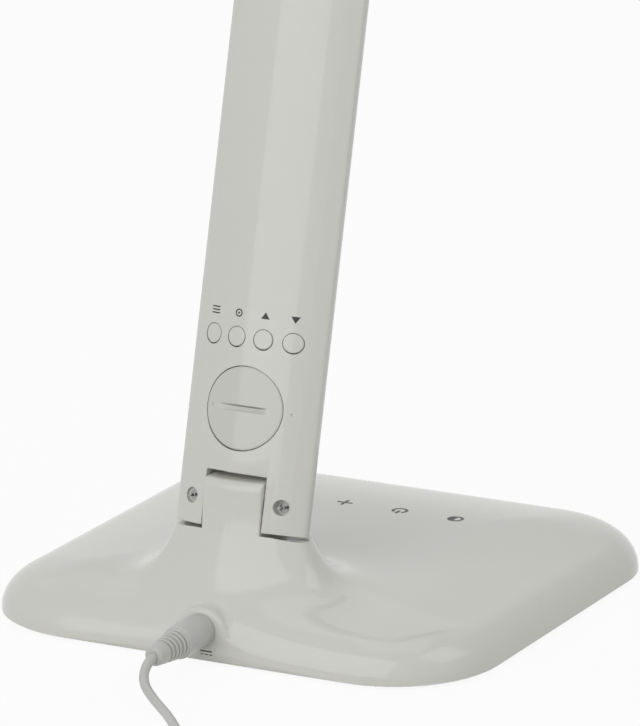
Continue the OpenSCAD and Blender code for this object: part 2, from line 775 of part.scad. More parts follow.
module battery_cup() {
    color("DimGray") in_arm() translate([0, 0, battery_v]) difference() {
        along_w(cell_r + cup_t, board_top, cup_w);
        along_w(cell_r + cell_room, board_top - 1, cup_w + 1);
    }
}

module battery_contact() {
    color("Gold") in_arm() translate([0, 0, battery_v]) along_w(contact_r, board_top, cell_w);
}

module coin_cell() {
    color("Silver") in_arm() translate([0, 0, battery_v]) along_w(cell_r, cell_w, cell_w + cell_size[1]);
}

module battery_cover() {
    color("Gainsboro") in_arm() translate([0, 0, battery_v]) difference() {
        union() {
            intersection() {
                along_w(lid_r, ledge_w[1] + fit, 2*arm_back);
                translate([0, lid_top - lid_round, -hole_r])
                    cylinder(r = lid_round, h = 2*hole_r, $fn = 96);
            }
            along_w(skirt_r, collar_w + gap, ledge_w[1] + gap);
            // bayonet lugs
            intersection() {
                along_w(lug_r, ledge_w[0] - gap - lug_t, ledge_w[0] - gap);
                cube([lug_w, 3*ledge_w[1], 3*lug_r], center = true);
            }
        }
        along_w(cell_r + 2*cell_room, 0, ledge_w[1] - cell_room);
        // coin slot
        translate([0, lid_top + slot_cut_r - slot_deep, 0])
            cylinder(r = slot_cut_r, h = slot_w, center = true, $fn = 96);
        // mark
        translate([lid_r - mark_at + gap, lid_top - mark_deep, 0]) rotate([-90, 0, 0])
            cylinder(r = mark_r, h = arm_back, $fn = 3);
    }
}

module arm_wire() {
    color("Red") in_arm() tube(curve([for (q = [[board_w + board_t/2, clock_v[1]],
        [board_w + board_t/2, clock_v[1] + 4], [0, clock_v[1] + 16], [0, arm_l/2], [0, arm_l - 1.5*notch_v]])
        [arm_wire_u, q[0], q[1]]], 3), wire_r, 6, [0, 1, 0]);
}

module upper_shaft() {
    color("LightSlateGray") in_arm() translate([0, head_axis_w, arm_l]) hinge_shaft(upper_shaft_r);
}

module upper_screws() { color("Silver") in_arm() translate([0, 0, arm_l]) ear_screws(ear_screw_l); }

// Neck of the head in the p-q plane about the upper axis.
function neck_shape() = concat(arc([0, 0], neck_r, 180, 360, 24),
    [[neck_r, head_low - 1.9], [head_p0, head_low + 1], [head_p0, head_top - 1],
     [neck_r/2, head_top - 1], [-0.7*neck_r, neck_r + 1.5], [-neck_r, 0.4*neck_r]]);

module head_neck() {
    color("Gainsboro") in_head() difference() {
        union() {
            rotate([0, -90, 0]) linear_extrude(2*tongue_w, center = true) polygon(neck_shape());
            translate([-neck_plate[0], neck_plate[1], head_p0 - 0.5])
                cube([2*neck_plate[0], neck_plate[2] - neck_plate[1], neck_plate[3] - head_p0]);
        }
        along_x(upper_shaft_r + fit, 3*tongue_w);
        for (s = [-1, 1]) translate([s*(tongue_w + 1), 0, 0])
            along_x(upper_washer_r + washer_room, 2 + 2*(washer_t - side_gap + fit));
        at_neck_screws() along_w(small_r, 0, 2*head_top);
    }
}

module upper_washers() {
    color("Silver") in_head() for (s = [-1, 1]) translate([s*(notch_w - fit - washer_t/2), 0, 0])
        washer(upper_washer_r, upper_shaft_r + fit, washer_t);
}

// Plan of the head, inset by d, from a to b in height.
module head_plan(d, a, b) {
    l = (head_l - head_p0)/2;
    translate([0, a, head_p0 + l]) rotate([90, 0, 0]) mirror([0, 0, 1]) linear_extrude(b - a)
        polygon(rounded(arm_a - d, l - d, head_corner - d));
}

// D-shaped bar of the head, inset by d and rounded by r along its edges.
module head_bar(d, r, low) {
    translate([0, 0, head_p0 - 1]) linear_extrude(head_l)
        polygon(section(arm_a - d, head_top - d, head_round - d, r, low));
}

module head_shell() {
    color("Gainsboro") in_head() difference() {
        union() {
            difference() {
                intersection() {
                    head_bar(0, 2.5, bezel_top);
                    head_plan(0, bezel_top - 1, head_top + 1);
                }
                intersection() {
                    head_bar(wall, 0.8, bezel_top - 1);
                    head_plan(wall, bezel_top - 2, head_top);
                }
            }
            // ribs over the lamp board and studs for the screws
            at_ribs() translate([-rib_size.x/2, led_z + board_t, -rib_size.y/2])
                cube([rib_size.x, head_top - led_z - board_t - 1, rib_size.y]);
            at_neck_screws() along_w(stud_r, neck_plate[2], head_top - 1);
            at_bezel_screws() along_w(stud_r, bezel_top, head_top - skin_t);
        }
        translate([-neck_plate[0] - neck_room, neck_plate[1] - neck_room, head_p0 - 1])
            cube([2*(neck_plate[0] + neck_room), neck_plate[2] - neck_plate[1] + 2*neck_room, wall + 2]);
        at_ribs() along_w(small_r, 0, head_top - skin_t);
        at_neck_screws() along_w(small_r, 0, head_top - skin_t);
        at_bezel_screws() along_w(small_r, 0, head_top - 2*skin_t);
    }
}

// Slabs over the light panel, grown by d, and over the lamp board.
module light_slab(d, a, b) {
    translate([-light_a - d, a, light_p[0] - d])
        cube([2*(light_a + d), b - a, light_p[1] - light_p[0] + 2*d]);
}
module board_slab(a, b) {
    translate([-led_board_a, a, light_p[0] + led_board_in])
        cube([2*led_board_a, b - a, light_p[1] - light_p[0] - 2*led_board_in]);
}

module head_bezel() {
    color("Gainsboro") in_head() difference() {
        head_plan(0, head_low, bezel_top);
        light_slab(light_room, head_low - 1, bezel_top + 1);
        at_bezel_screws() {
            along_w(small_r, head_low - 1, bezel_top + 1);
            along_w(small_head_r + washer_room, head_low - 1, head_low + bezel_sink);
        }
    }
}

module diffuser() {
    color("White") in_head() {
        light_slab(0, head_low + light_sink, bezel_top + flange_t);
        light_slab(flange, bezel_top, bezel_top + flange_t);
    }
}

module led_board() {
    color("WhiteSmoke") in_head() difference() {
        board_slab(led_z, led_z + board_t);
        at_ribs() along_w(small_r, led_z - 1, led_z + 2*board_t);
    }
}

module leds() {
    pitch = (light_p[1] - light_p[0] - 2*lamp_end)/led_count;
    color("Khaki") in_head() for (s = [-1, 1], i = [0:led_count - 1])
        translate([s*led_row_u, led_z - lamp_size.y/2, light_p[0] + lamp_end + (i + 0.5)*pitch])
            cube(lamp_size, center = true);
}

module reflector_sheet() {
    color("White") in_head() difference() {
        board_slab(led_z - sheet_t, led_z);
        for (s = [-1, 1]) translate([s*led_row_u - lamp_slot[0]/2, led_z - 1, light_p[0] + lamp_slot[1]])
            cube([lamp_slot[0], 2, light_p[1] - light_p[0] - 2*lamp_slot[1]]);
        at_ribs() along_w(small_r, led_z - 1, led_z + 1);
    }
}

// Small screws of the head, their heads below q.
module head_screws(q, l) {
    translate([0, q, 0]) rotate([90, 0, 0]) screw(small_r, small_head_r, small_head_h, l);
}
module led_screws() {
    color("Silver") in_head() at_ribs() head_screws(led_z - sheet_t, head_top - skin_t - led_z);
}
module neck_screws() {
    color("Silver") in_head() at_neck_screws()
        head_screws(neck_plate[1], head_top - skin_t - neck_plate[1] - 0.5);
}
module bezel_screws() {
    color("Silver") in_head() at_bezel_screws()
        head_screws(head_low + bezel_sink, head_top - 2*skin_t - head_low - bezel_sink - 0.5);
}

// Overmoulded plug whose tapered strain relief has ribs in its first part.
module dc_plug() {
    rib = plug_relief/plug_ribs;
    full_r = plug_r - plug_edge;
    taper = (full_r - plug_tip_r)/(plug_l - plug_grip);
    groove = 1;
    end_r = full_r - taper*plug_relief;
    color("LightGray") translate([0, plug_y, jack_z]) rotate([-90, 0, 0]) difference() {
        rotate_extrude() polygon(concat(
            [[0, 0], [full_r, 0], [plug_r, plug_edge], [plug_r, plug_grip]],
            [for (i = [0:plug_ribs - 1]) let (r = full_r - taper*i*rib, y = plug_grip + i*rib)
                each [[r, y + 0.1*rib], [r, y + 0.58*rib],
                      [r - groove, y + 0.63*rib], [r - groove, y + 0.95*rib]]],
            [[end_r, plug_grip + plug_relief], [plug_tip_r, plug_l - plug_edge],
             [plug_tip_r - plug_edge, plug_l], [0, plug_l]]));
        translate([0, 0, -1]) cylinder(r = barrel_r, h = barrel_sink + 1);
    }
}

module plug_barrel() {
    color("Silver") translate([0, plug_y + barrel_sink, jack_z]) rotate([90, 0, 0]) difference() {
        cylinder(r = barrel_r, h = barrel_l);
        translate([0, 0, 1]) cylinder(r = barrel_bore, h = barrel_l);
    }
}

// Round tube along a list of points, n sides.
function ring_at(p, t, r, n, up) = let (s = unit(cross(up, t)), u = cross(t, s))
    [for (i = [0:n - 1]) p + r*(cos(360*i/n)*s + sin(360*i/n)*u)];
function unit(d) = d/norm(d);
module tube(ps, r, n, up = [0, 0, 1]) {
    m = len(ps) - 1;
    skin([for (i = [0:m]) ring_at(ps[i], unit(ps[min(i + 1, m)] - ps[max(i - 1, 0)]), r, n, up)]);
}

// Smooth curve through points, k steps in each stretch.
function curve(ps, k) = let (m = len(ps) - 1) concat([for (i = [0:m - 1], j = [0:k - 1])
    let (a = ps[max(i - 1, 0)], b = ps[i], c = ps[i + 1], d = ps[min(i + 2, m)], t = j/k)
    b + 0.5*t*(c - a + t*(2*a - 5*b + 4*c - d + t*(3*(b - c) + d - a)))], [ps[m]]);

module cord_run() { color("LightGray") tube(curve(cord_points, 3), cord_r, 8); }

// Put-away coil: the cord spirals in and out, one layer on the next, and climbs
// in the half turn where the spiral turns round.
function coil_point(s) =
    let (k = floor(s/coil_turns), f = s/coil_turns - k, inward = k%2 == 0,
         r = coil_r + coil_pitch*coil_turns*(inward ? 1 - f : f),
         near = round(s/coil_turns), h = (s - near*coil_turns)*2 + 0.5,
         inside = near > 0 && near < coil_layers,
         layer = inside ? near - 1 + clamp01(h) : near == 0 ? 0 : coil_layers - 1)
    [coil_at.x + r*cos(360*s), coil_at.y + r*sin(360*s), coil_z + coil_pitch*layer];
coil_line = concat([coil_point(0) - [0, cord_d, 0]],
    [for (i = [0:coil_loops*loop_rings]) coil_point(i/loop_rings)],
    [coil_point(coil_loops) + [0, cord_d, 0]]);
coil_space = min([for (i = [0:len(coil_line) - 1], j = [i + loop_rings/2:1:len(coil_line) - 1])
    norm(coil_line[i] - coil_line[j])]) - cord_d;
echo(coil_least_gap = coil_space);
module cord_coil() { color("LightGray") tube(coil_line, cord_r, 6); }

module cord_tail() { color("LightGray") tube(curve(tail_points, 3), cord_r, 8); }

// Band round one side of the coil.
module cord_tie() {
    half = (coil_out - coil_r)/2 + cord_r + tie_room;
    high = (coil_top + cord_r + tie_t + tie_room/2)/2;
    color("DimGray") translate([coil_at.x - (coil_r + coil_out)/2, coil_at.y, high])
        rotate([90, 0, 0]) linear_extrude(tie_w, center = true) difference() {
            polygon(rounded(half + tie_t, high, 3*tie_t));
            polygon(rounded(half, high - tie_t, 2*tie_t));
        }
}

// Plug at the far end of the cord: grip along +X from the cord, then the shell.
module at_usb() { translate(usb_at) rotate([0, 0, tail_end + 90]) children(); }

module usb_plug() {
    color("LightGray") at_usb() translate([usb_size.x/2, 0, -usb_size.z/2]) linear_extrude(usb_size.z)
        polygon(rounded(usb_size.x/2, usb_size.y/2, cord_d));
}

module usb_shell() {
    inner = usb_shell_size - 2*[0, usb_wall, usb_wall];
    color("Silver") at_usb() translate([usb_size.x + usb_shell_size.x/2, 0, 0]) difference() {
        cube(usb_shell_size, center = true);
        translate([2*usb_wall, 0, 0]) cube(inner, center = true);
    }
}

module usb_insert() {
    wide = usb_shell_size.y - 2*usb_wall;
    color("White") at_usb() translate([usb_size.x + 2*usb_wall, -wide/2, usb_wall - usb_shell_size.z/2])
        cube([usb_insert_size[0], wide, usb_insert_size[1]]);
}

base_cover();
base_plate();
base_pad();
base_screws();
counterweight();
board_standoffs();
touch_board();
touch_springs();
dc_jack();
jack_pin();
base_wire();
lower_washers();
lower_shaft();
lower_screws();
arm_rear_shell();
arm_front_cover();
display_window();
display_panel();
clock_board();
board_screws();
tact_switches();
battery_cup();
battery_contact();
coin_cell();
arm_wire();
upper_shaft();
upper_screws();
button_mode();
button_set();
button_up();
button_down();
battery_cover();
head_neck();
upper_washers();
head_shell();
head_bezel();
diffuser();
led_board();
leds();
reflector_sheet();
led_screws();
neck_screws();
bezel_screws();
dc_plug();
plug_barrel();
cord_run();
cord_coil();
cord_tail();
cord_tie();
usb_plug();
usb_shell();
usb_insert();
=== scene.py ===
import math
import bmesh
import bpy
from mathutils import Matrix, Vector


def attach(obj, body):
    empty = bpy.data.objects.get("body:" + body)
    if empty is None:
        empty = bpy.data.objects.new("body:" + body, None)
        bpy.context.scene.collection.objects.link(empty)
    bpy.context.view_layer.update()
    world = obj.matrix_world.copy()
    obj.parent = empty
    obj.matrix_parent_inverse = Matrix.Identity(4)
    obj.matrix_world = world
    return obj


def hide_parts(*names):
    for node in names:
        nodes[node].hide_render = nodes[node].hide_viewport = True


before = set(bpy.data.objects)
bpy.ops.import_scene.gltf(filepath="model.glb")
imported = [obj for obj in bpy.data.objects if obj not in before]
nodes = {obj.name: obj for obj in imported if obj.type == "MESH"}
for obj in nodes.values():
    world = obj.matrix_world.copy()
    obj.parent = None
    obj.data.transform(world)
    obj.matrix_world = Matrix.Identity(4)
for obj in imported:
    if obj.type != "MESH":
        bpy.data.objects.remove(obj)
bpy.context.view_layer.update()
scene = bpy.context.scene

# Viewpoint: the lamp is seen from behind, from its right and a little above,
# through a long lens, so that parallel edges stay almost parallel.
MM = 0.001
PIXELS_HIGH = 726
FOCAL_PIXELS = 6828.5
SENSOR = 36.0
eye = Vector((-940.856, 1809.091, 655.735))
look = Vector((0.44394961, -0.85299687, -0.27441771))
upward = Vector((0.12324814, -0.24521195, 0.96160335))
across = look.cross(upward)


def stand(name, data):
    """Object of a mesh, curve, camera or lamp in the scene."""
    made = bpy.data.objects.new(name, data)
    scene.collection.objects.link(made)
    return made


camera = stand("viewpoint", bpy.data.cameras.new("viewpoint"))
camera.data.sensor_width = SENSOR
camera.data.lens = SENSOR*FOCAL_PIXELS/PIXELS_HIGH
camera.data.clip_end = 100.0
camera.matrix_world = Matrix.Translation(eye*MM) @ Matrix((across, upward, -look)).transposed().to_4x4()
scene.camera = camera
scene.view_settings.view_transform = "Standard"

# Supply cord: a thin limp two-core lead in soft grey PVC, extruded over its wires.
# It leaves the plug at the back, drops to the table and runs off to the right;
# the length that isn't in use lies in a tied coil with a second plug at its end.
CORD_D = 3.0
COIL_AT = (-64.0, 218.0)
COIL_TURNS = 3
COIL_LAYERS = 4
COIL_PITCH = 3.5
COIL_IN = 11.7*CORD_D/2 - COIL_TURNS*COIL_PITCH/2
COIL_OUT = COIL_IN + COIL_TURNS*COIL_PITCH
COIL_LOW = 2.5
COIL_HIGH = COIL_LOW + (COIL_LAYERS - 1)*COIL_PITCH
LOOP_STEPS = 32
TAIL_TURN = 125.0
TAIL_OUT = 11.0
TAIL_LOW = 4.0


def colour(hexadecimal):
    """Linear RGBA of an sRGB hex value."""
    parts = [int(hexadecimal[i:i + 2], 16)/255 for i in (1, 3, 5)]
    return (*[c/12.92 if c <= 0.04045 else ((c + 0.055)/1.055)**2.4 for c in parts], 1.0)


def add(tree, kind, links=None, **settings):
    """Adds one node; links maps a socket to a node, a socket, a value or a list of nodes."""
    node = tree.nodes.new(kind)
    for name, value in settings.items():
        setattr(node, name, value)
    for key, value in (links or {}).items():
        for source in value if isinstance(value, list) else [value]:
            if isinstance(source, bpy.types.Node):
                source = source.outputs[0]
            if isinstance(source, bpy.types.NodeSocket):
                tree.links.new(source, node.inputs[key])
            else:
                node.inputs[key].default_value = source
    return node


def finish(name, pale, deep, roughness, patch, grain, relief, stretch=(1, 1, 1), **sockets):
    """Material whose tone drifts in patches and whose gloss and relief follow a grain, in mm."""
    material = bpy.data.materials.new(name)
    material.use_nodes = True
    tree = material.node_tree
    shader = tree.nodes["Principled BSDF"]
    place = add(tree, "ShaderNodeTexCoord")
    along = add(tree, "ShaderNodeMapping", {"Vector": place.outputs["Object"], "Scale": stretch})
    cloud = add(tree, "ShaderNodeTexNoise", {"Vector": along, "Scale": 1/(patch*MM), "Detail": 3.0})
    grit = add(tree, "ShaderNodeTexNoise", {"Vector": along, "Scale": 1/(grain*MM), "Detail": 2.0})
    tone = add(tree, "ShaderNodeMix", {0: cloud, 6: colour(deep), 7: colour(pale)}, data_type="RGBA")
    gloss = add(tree, "ShaderNodeMapRange", {
        "Value": grit, "From Min": 0.3, "From Max": 0.7,
        "To Min": roughness*0.85, "To Max": roughness*1.15})
    bump = add(tree, "ShaderNodeBump", {"Height": grit, "Strength": 1.0, "Distance": relief*MM})
    tree.links.new(tone.outputs[2], shader.inputs["Base Color"])
    tree.links.new(gloss.outputs[0], shader.inputs["Roughness"])
    tree.links.new(bump.outputs[0], shader.inputs["Normal"])
    for key, value in sockets.items():
        shader.inputs[key].default_value = value
    return material


def dress(material, *names):
    """Gives CAD nodes a finish in place of their plain colour."""
    for name in names:
        nodes[name].data.materials.clear()
        nodes[name].data.materials.append(material)


def smooth_line(points, steps):
    """Smooth curve through the points, with a number of steps in each stretch."""
    line = []
    last = len(points) - 1
    for i in range(last):
        a, b, c, d = (Vector(points[j]) for j in (max(i - 1, 0), i, i + 1, min(i + 2, last)))
        for j in range(steps):
            t = j/steps
            line.append(b + 0.5*t*(c - a + t*(2*a - 5*b + 4*c - d + t*(3*(b - c) + d - a))))
    return line + [Vector(points[last])]


def coil_point(s):
    """Point of the coil after s turns: it spirals in and out, one layer on the next."""
    k = math.floor(s/COIL_TURNS)
    part = s/COIL_TURNS - k
    r = COIL_IN + COIL_PITCH*COIL_TURNS*(1 - part if k % 2 == 0 else part)
    near = math.floor(s/COIL_TURNS + 0.5)
    climb = min(max((s - near*COIL_TURNS)*2 + 0.5, 0), 1)
    layer = 0 if near == 0 else COIL_LAYERS - 1 if near >= COIL_LAYERS else near - 1 + climb
    a = 2*math.pi*s
    return Vector((COIL_AT[0] + r*math.cos(a), COIL_AT[1] + r*math.sin(a), COIL_LOW + COIL_PITCH*layer))


def tail_point(t):
    """Point of the cord's last stretch, which widens and comes down to the far plug."""
    g = t*t*(3 - 2*t)
    a = math.radians(TAIL_TURN*t)
    r = COIL_OUT + TAIL_OUT*g
    return (COIL_AT[0] + r*math.cos(a), COIL_AT[1] + r*math.sin(a), COIL_HIGH + (TAIL_LOW - COIL_HIGH)*g)


coil_x = COIL_AT[0] + COIL_OUT
cord_run = smooth_line([
    (0, 110.3, 10.4), (-0.3, 114.3, 9.4), (-1.4, 118.6, 7.4), (-3.8, 122, 5.4), (-7.2, 124.8, 3.8),
    (-11.2, 127.8, 2.5), (-16.5, 132.4, 1.7), (-23.2, 139.9, 1.5), (-30, 149, 1.5), (-36.5, 163, 1.5),
    (coil_x + 2, 180, 1.6), (coil_x + 0.2, 198, 2.2), (coil_x, COIL_AT[1] - CORD_D, COIL_LOW)], 4)
cord_coil = [coil_point(i/LOOP_STEPS) for i in range(COIL_TURNS*COIL_LAYERS*LOOP_STEPS + 1)]
cord_tail = smooth_line([(coil_x, COIL_AT[1] + CORD_D, COIL_HIGH), (coil_x, COIL_AT[1] + 2*CORD_D, COIL_HIGH)]
                        + [tail_point(0.14 + 0.86*i/6) for i in range(1, 7)], 4)
cord_line = [p*MM for p in cord_run + cord_coil + cord_tail]
cord_curve = bpy.data.curves.new("supply_cord", "CURVE")
cord_curve.dimensions = "3D"
cord_curve.bevel_depth = CORD_D/2*MM
cord_curve.bevel_resolution = 3
cord_curve.use_fill_caps = True
cord_path = cord_curve.splines.new("POLY")
cord_path.points.add(len(cord_line) - 1)
for knot, at in zip(cord_path.points, cord_line):
    knot.co = (*at, 1.0)
cord_path.use_smooth = True
cord = stand("supply_cord", cord_curve)

# soft PVC: a satin skin, with the faint ripple of the wires under it
cord_pvc = finish("extruded_satin_pvc", "#C8C8C5", "#BABAB7", 0.42, 14, 1.2, 0.03, IOR=1.53)
cord_curve.materials.append(cord_pvc)
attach(cord, "base")
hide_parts("cord_run", "cord_coil", "cord_tail")

# Supply plug: a grip overmoulded in the same PVC round a nickel-plated barrel. Its strain
# relief thins towards the cord, ringed at first and then smooth. It is pushed into the
# socket at the back of the base.
JACK_Z = 10.4
PLUG_Y = 80.7
PLUG_R = 5.2
PLUG_GRIP = 15.0
PLUG_L = 29.6
PLUG_TIP_R = 3.0
RELIEF_R = 4.7
RELIEF_L = 9.5
PLUG_RINGS = 5
ROUND_STEPS = 64
SHARP = 32.0


def solid(name, parts, place=None):
    """Mesh of closed parts given as points and faces in mm, put in place by a matrix in mm."""
    work = bmesh.new()
    for points, faces in parts:
        made = [work.verts.new(p) for p in points]
        for face in faces:
            work.faces.new([made[i] for i in face])
    bmesh.ops.recalc_face_normals(work, faces=work.faces)
    work.transform(Matrix.Scale(MM, 4) @ (place or Matrix()))
    mesh = bpy.data.meshes.new(name)
    work.to_mesh(mesh)
    work.free()
    return mesh


def arc(x, y, r, first, last, steps):
    """Points of an arc about (x, y), in degrees."""
    turns = [math.radians(first + (last - first)*i/steps) for i in range(steps + 1)]
    return [(x + r*math.cos(a), y + r*math.sin(a)) for a in turns]


def circle(x, y, r, steps=ROUND_STEPS):
    return arc(x, y, r, 0, 360*(1 - 1/steps), steps - 1)


def loft(rings, tips=()):
    """Points and faces of a closed part through rings of points, with flat ends or two tips."""
    n = len(rings[0])
    end = n*(len(rings) - 1)
    points = [p for ring in rings for p in ring] + list(tips)
    faces = [(k + i, k + (i + 1) % n, k + n + (i + 1) % n, k + n + i)
             for k in range(0, end, n) for i in range(n)]
    if not tips:
        return points, faces + [tuple(reversed(range(n))), tuple(range(end, end + n))]
    return points, faces + [(k + i, k + (i + 1) % n, end + n + tip)
                            for tip, k in enumerate((0, end)) for i in range(n)]


def turned(profile, steps=ROUND_STEPS):
    """Points and faces of a profile of (radius, height) turned about Z."""
    return loft([[(*p, z) for p in circle(0, 0, r, steps)] for r, z in profile],
                [(0, 0, profile[0][1]), (0, 0, profile[-1][1])])


def piece(name, mesh, material, body, replaced=()):
    """Object of a finished mesh, riding on its body and standing for CAD nodes."""
    mesh.materials.clear()
    mesh.materials.append(material)
    mesh.polygons.foreach_set("use_smooth", [True]*len(mesh.polygons))
    mesh.set_sharp_from_angle(angle=math.radians(SHARP))
    made = stand(name, mesh)
    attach(made, body)
    if replaced:
        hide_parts(*replaced)
    return made


ring_step = RELIEF_L/PLUG_RINGS
taper = (RELIEF_R - PLUG_TIP_R)/(PLUG_L - PLUG_GRIP)
plug_profile = [(4.0, 0), (4.75, 0.05), (5.05, 0.2), (PLUG_R, 0.5), (PLUG_R, PLUG_GRIP - 1.0),
                (5.12, PLUG_GRIP - 0.5), (4.95, PLUG_GRIP - 0.15), (RELIEF_R - 0.1, PLUG_GRIP)]
for i in range(PLUG_RINGS):
    for grow, at in ((0, 0.06), (0, 0.5), (-0.12, 0.6), (-0.8, 0.66), (-0.8, 0.9), (-0.12, 0.96)):
        plug_profile.append((RELIEF_R - taper*(i + at)*ring_step + grow, PLUG_GRIP + (i + at)*ring_step))
plug_profile += [(RELIEF_R - taper*RELIEF_L, PLUG_GRIP + RELIEF_L + 0.1), (PLUG_TIP_R + 0.08, PLUG_L - 0.9),
                 (PLUG_TIP_R - 0.1, PLUG_L - 0.4), (PLUG_TIP_R - 0.4, PLUG_L - 0.1), (PLUG_TIP_R - 0.8, PLUG_L)]
plug_place = Matrix.Translation((0, PLUG_Y, JACK_Z)) @ Matrix.Rotation(-math.pi/2, 4, "X")
plug = piece("supply_plug", solid("supply_plug", [turned(plug_profile)], plug_place),
             cord_pvc, "base", ["dc_plug"])

# nickel plate: a bright mirror with faint turning marks
dress(finish("nickel_plate", "#D6D5D0", "#C6C5C0", 0.16, 9, 0.4, 0.004, Metallic=1.0),
      "plug_barrel", "jack_pin", "usb_shell", "coin_cell")

# Far plug and tie: a USB plug with the same moulded grip, a drawn nickel-plated shell
# and a white nylon tongue, and a woven hook-and-loop band round the coil.
dress(cord_pvc, "usb_plug")
# nylon: a milky satin white; woven band: a dull black with fine ribs
dress(finish("moulded_white_nylon", "#EFEFEB", "#E4E4DF", 0.4, 6, 0.8, 0.01, IOR=1.53), "usb_insert")
dress(finish("woven_nylon_band", "#2A2A2B", "#161617", 0.85, 2.0, 0.6, 0.12, stretch=(1, 2.5, 1)), "cord_tie")

# Base cover: the broad top shell of the base, one moulding in gloss white ABS. Its sides
# turn into a domed top, which flares up into the hinge's neck; a hump at the back holds
# the supply socket. It sits over the floor plate and is screwed on from below.
BASE_W = 167.4
BASE_D = 163.0
BASE_CORNER = 34.5
WALL = 2.0
RIM_Z = 0.6
RIM_IN = 1.2
HINGE_Y = 52.5
HINGE_Z = 43.4
ARM_HALF = 22.45
ARM_BACK = 8.0
ARM_FRONT = 7.5
EAR_END = 8.4
EAR_SWEEP = 11.19
EAR_TAPER = 1.4
NECK_HALF = ARM_HALF + 0.15
NECK_BACK = ARM_BACK + 1.8
NECK_ROUND = 38.0
NECK_CORNER = 4.0
NECK_NOSE = 9.8
NECK_Z = HINGE_Z - EAR_END + 1.2
NECK_FRONT_Z = HINGE_Z - ARM_FRONT - 1.6
NECK_CROWN = 380.0
SIDE_IN = 8.0
INNER_IN = 6.0
SIDE_POWER = 2.2
SIDE_RINGS = 40
RISE_RINGS = 64
RISE_POWER = 1.7
INNER_RINGS = 12
INNER_POWER = 1.5
CORNER_STEPS = 16
EDGE_STEPS = (80, 24, 24, 24)
CREASE = 35.0


def corners(x, low, high, r, steps):
    """The four corner arcs of a rounded rectangle, from the one at +X and +Y on."""
    return [arc(side*x, y, r, first, first + 90, steps)
            for side, y, first in ((1, high, 0), (-1, high, 90), (-1, low, 180), (1, low, 270))]


def joined(arcs, crowd=1.0, back=()):
    """Closed loop of four arcs; the edge at the back is given, or crowds to its middle."""
    loop = []
    for k, count in enumerate(EDGE_STEPS):
        start, end = arcs[k][-1], arcs[(k + 1) % 4][0]
        loop += arcs[k]
        if k == 0 and back:
            loop += back
            continue
        for i in range(1, count):
            t = 2*i/count - 1
            if k == 0:
                t = crowd*t + (1 - crowd)*t**3
            loop.append(tuple(a + (b - a)*(0.5 + 0.5*t) for a, b in zip(start, end)))
    return loop


def base_loop(inset):
    x, y = BASE_W/2 - BASE_CORNER, BASE_D/2 - BASE_CORNER
    return joined(corners(x, -y, y, BASE_CORNER - inset, CORNER_STEPS), crowd=0.25)


neck_side = NECK_HALF - NECK_CORNER
neck_middle = HINGE_Y + NECK_BACK - NECK_ROUND
neck_reach = math.sqrt((NECK_ROUND - NECK_CORNER)**2 - neck_side**2)
neck_turn = math.degrees(math.asin(neck_side/(NECK_ROUND - NECK_CORNER)))


def neck_loop(inset):
    """Loop of the neck, a D whose round side is the back, point for point with the base's."""
    nose, corner, corner_y = NECK_HALF - NECK_NOSE, NECK_CORNER - inset, neck_middle + neck_reach
    return joined([arc(neck_side, corner_y, corner, 0, 90 - neck_turn, CORNER_STEPS),
                   arc(-neck_side, corner_y, corner, 90 + neck_turn, 180, CORNER_STEPS),
                   arc(-nose, HINGE_Y, NECK_NOSE - inset, 180, 270, CORNER_STEPS),
                   arc(nose, HINGE_Y, NECK_NOSE - inset, 270, 360, CORNER_STEPS)],
                  back=arc(0, neck_middle, NECK_ROUND - inset, 90 - neck_turn, 90 + neck_turn,
                           EDGE_STEPS[0])[1:-1])


def between(outer, inner, share):
    return [tuple(b + (a - b)*share for a, b in zip(p, q)) for p, q in zip(outer, inner)]


# rings of the plan, from the middle of the inner side, over the rim, to the neck
inner_edge = [base_loop(WALL + INNER_IN*(i/4)**SIDE_POWER) for i in range(4, 0, -1)]
plan = [(between(base_loop(WALL + INNER_IN), neck_loop(WALL), (i/INNER_RINGS)**INNER_POWER), 1.0, -1.0)
        for i in range(INNER_RINGS)]
plan += [(loop, 1.0, -1.0) for loop in inner_edge]
plan += [(base_loop(WALL + 0.1), 1.0, RIM_Z), (base_loop(RIM_IN), 0.0, RIM_Z)]
plan += [(base_loop(SIDE_IN*(i/SIDE_RINGS)**SIDE_POWER), 0.0, -1.0) for i in range(SIDE_RINGS + 1)]
plan += [(between(base_loop(SIDE_IN), neck_loop(0), (1 - i/RISE_RINGS)**RISE_POWER), 0.0, -1.0)
         for i in range(1, RISE_RINGS + 1)]
plan_points, plan_faces = loft([[(x*MM, y*MM, 0) for x, y in loop] for loop, inside, level in plan])
cover_plan = bpy.data.meshes.new("base_cover_plan")
cover_plan.from_pydata(plan_points, [], plan_faces)
for title, values in (("inside", [inside for loop, inside, level in plan for p in loop]),
                      ("level", [level*MM for loop, inside, level in plan for p in loop])):
    cover_plan.attributes.new(title, "FLOAT", "POINT").data.foreach_set("value", values)

# the rule of its height, as a tree on the plan
MATH = "ShaderNodeMath"


def sized_tree(name, sockets):
    """New tree of geometry nodes, with the identifiers of its inputs, given as titles and kinds."""
    tree = bpy.data.node_groups.new(name, "GeometryNodeTree")
    for way in ("INPUT", "OUTPUT"):
        tree.interface.new_socket("Geometry", in_out=way, socket_type="NodeSocketGeometry")
    return tree, {title: tree.interface.new_socket(
        title, in_out="INPUT", socket_type=f"NodeSocket{kind}").identifier for title, kind in sockets.items()}


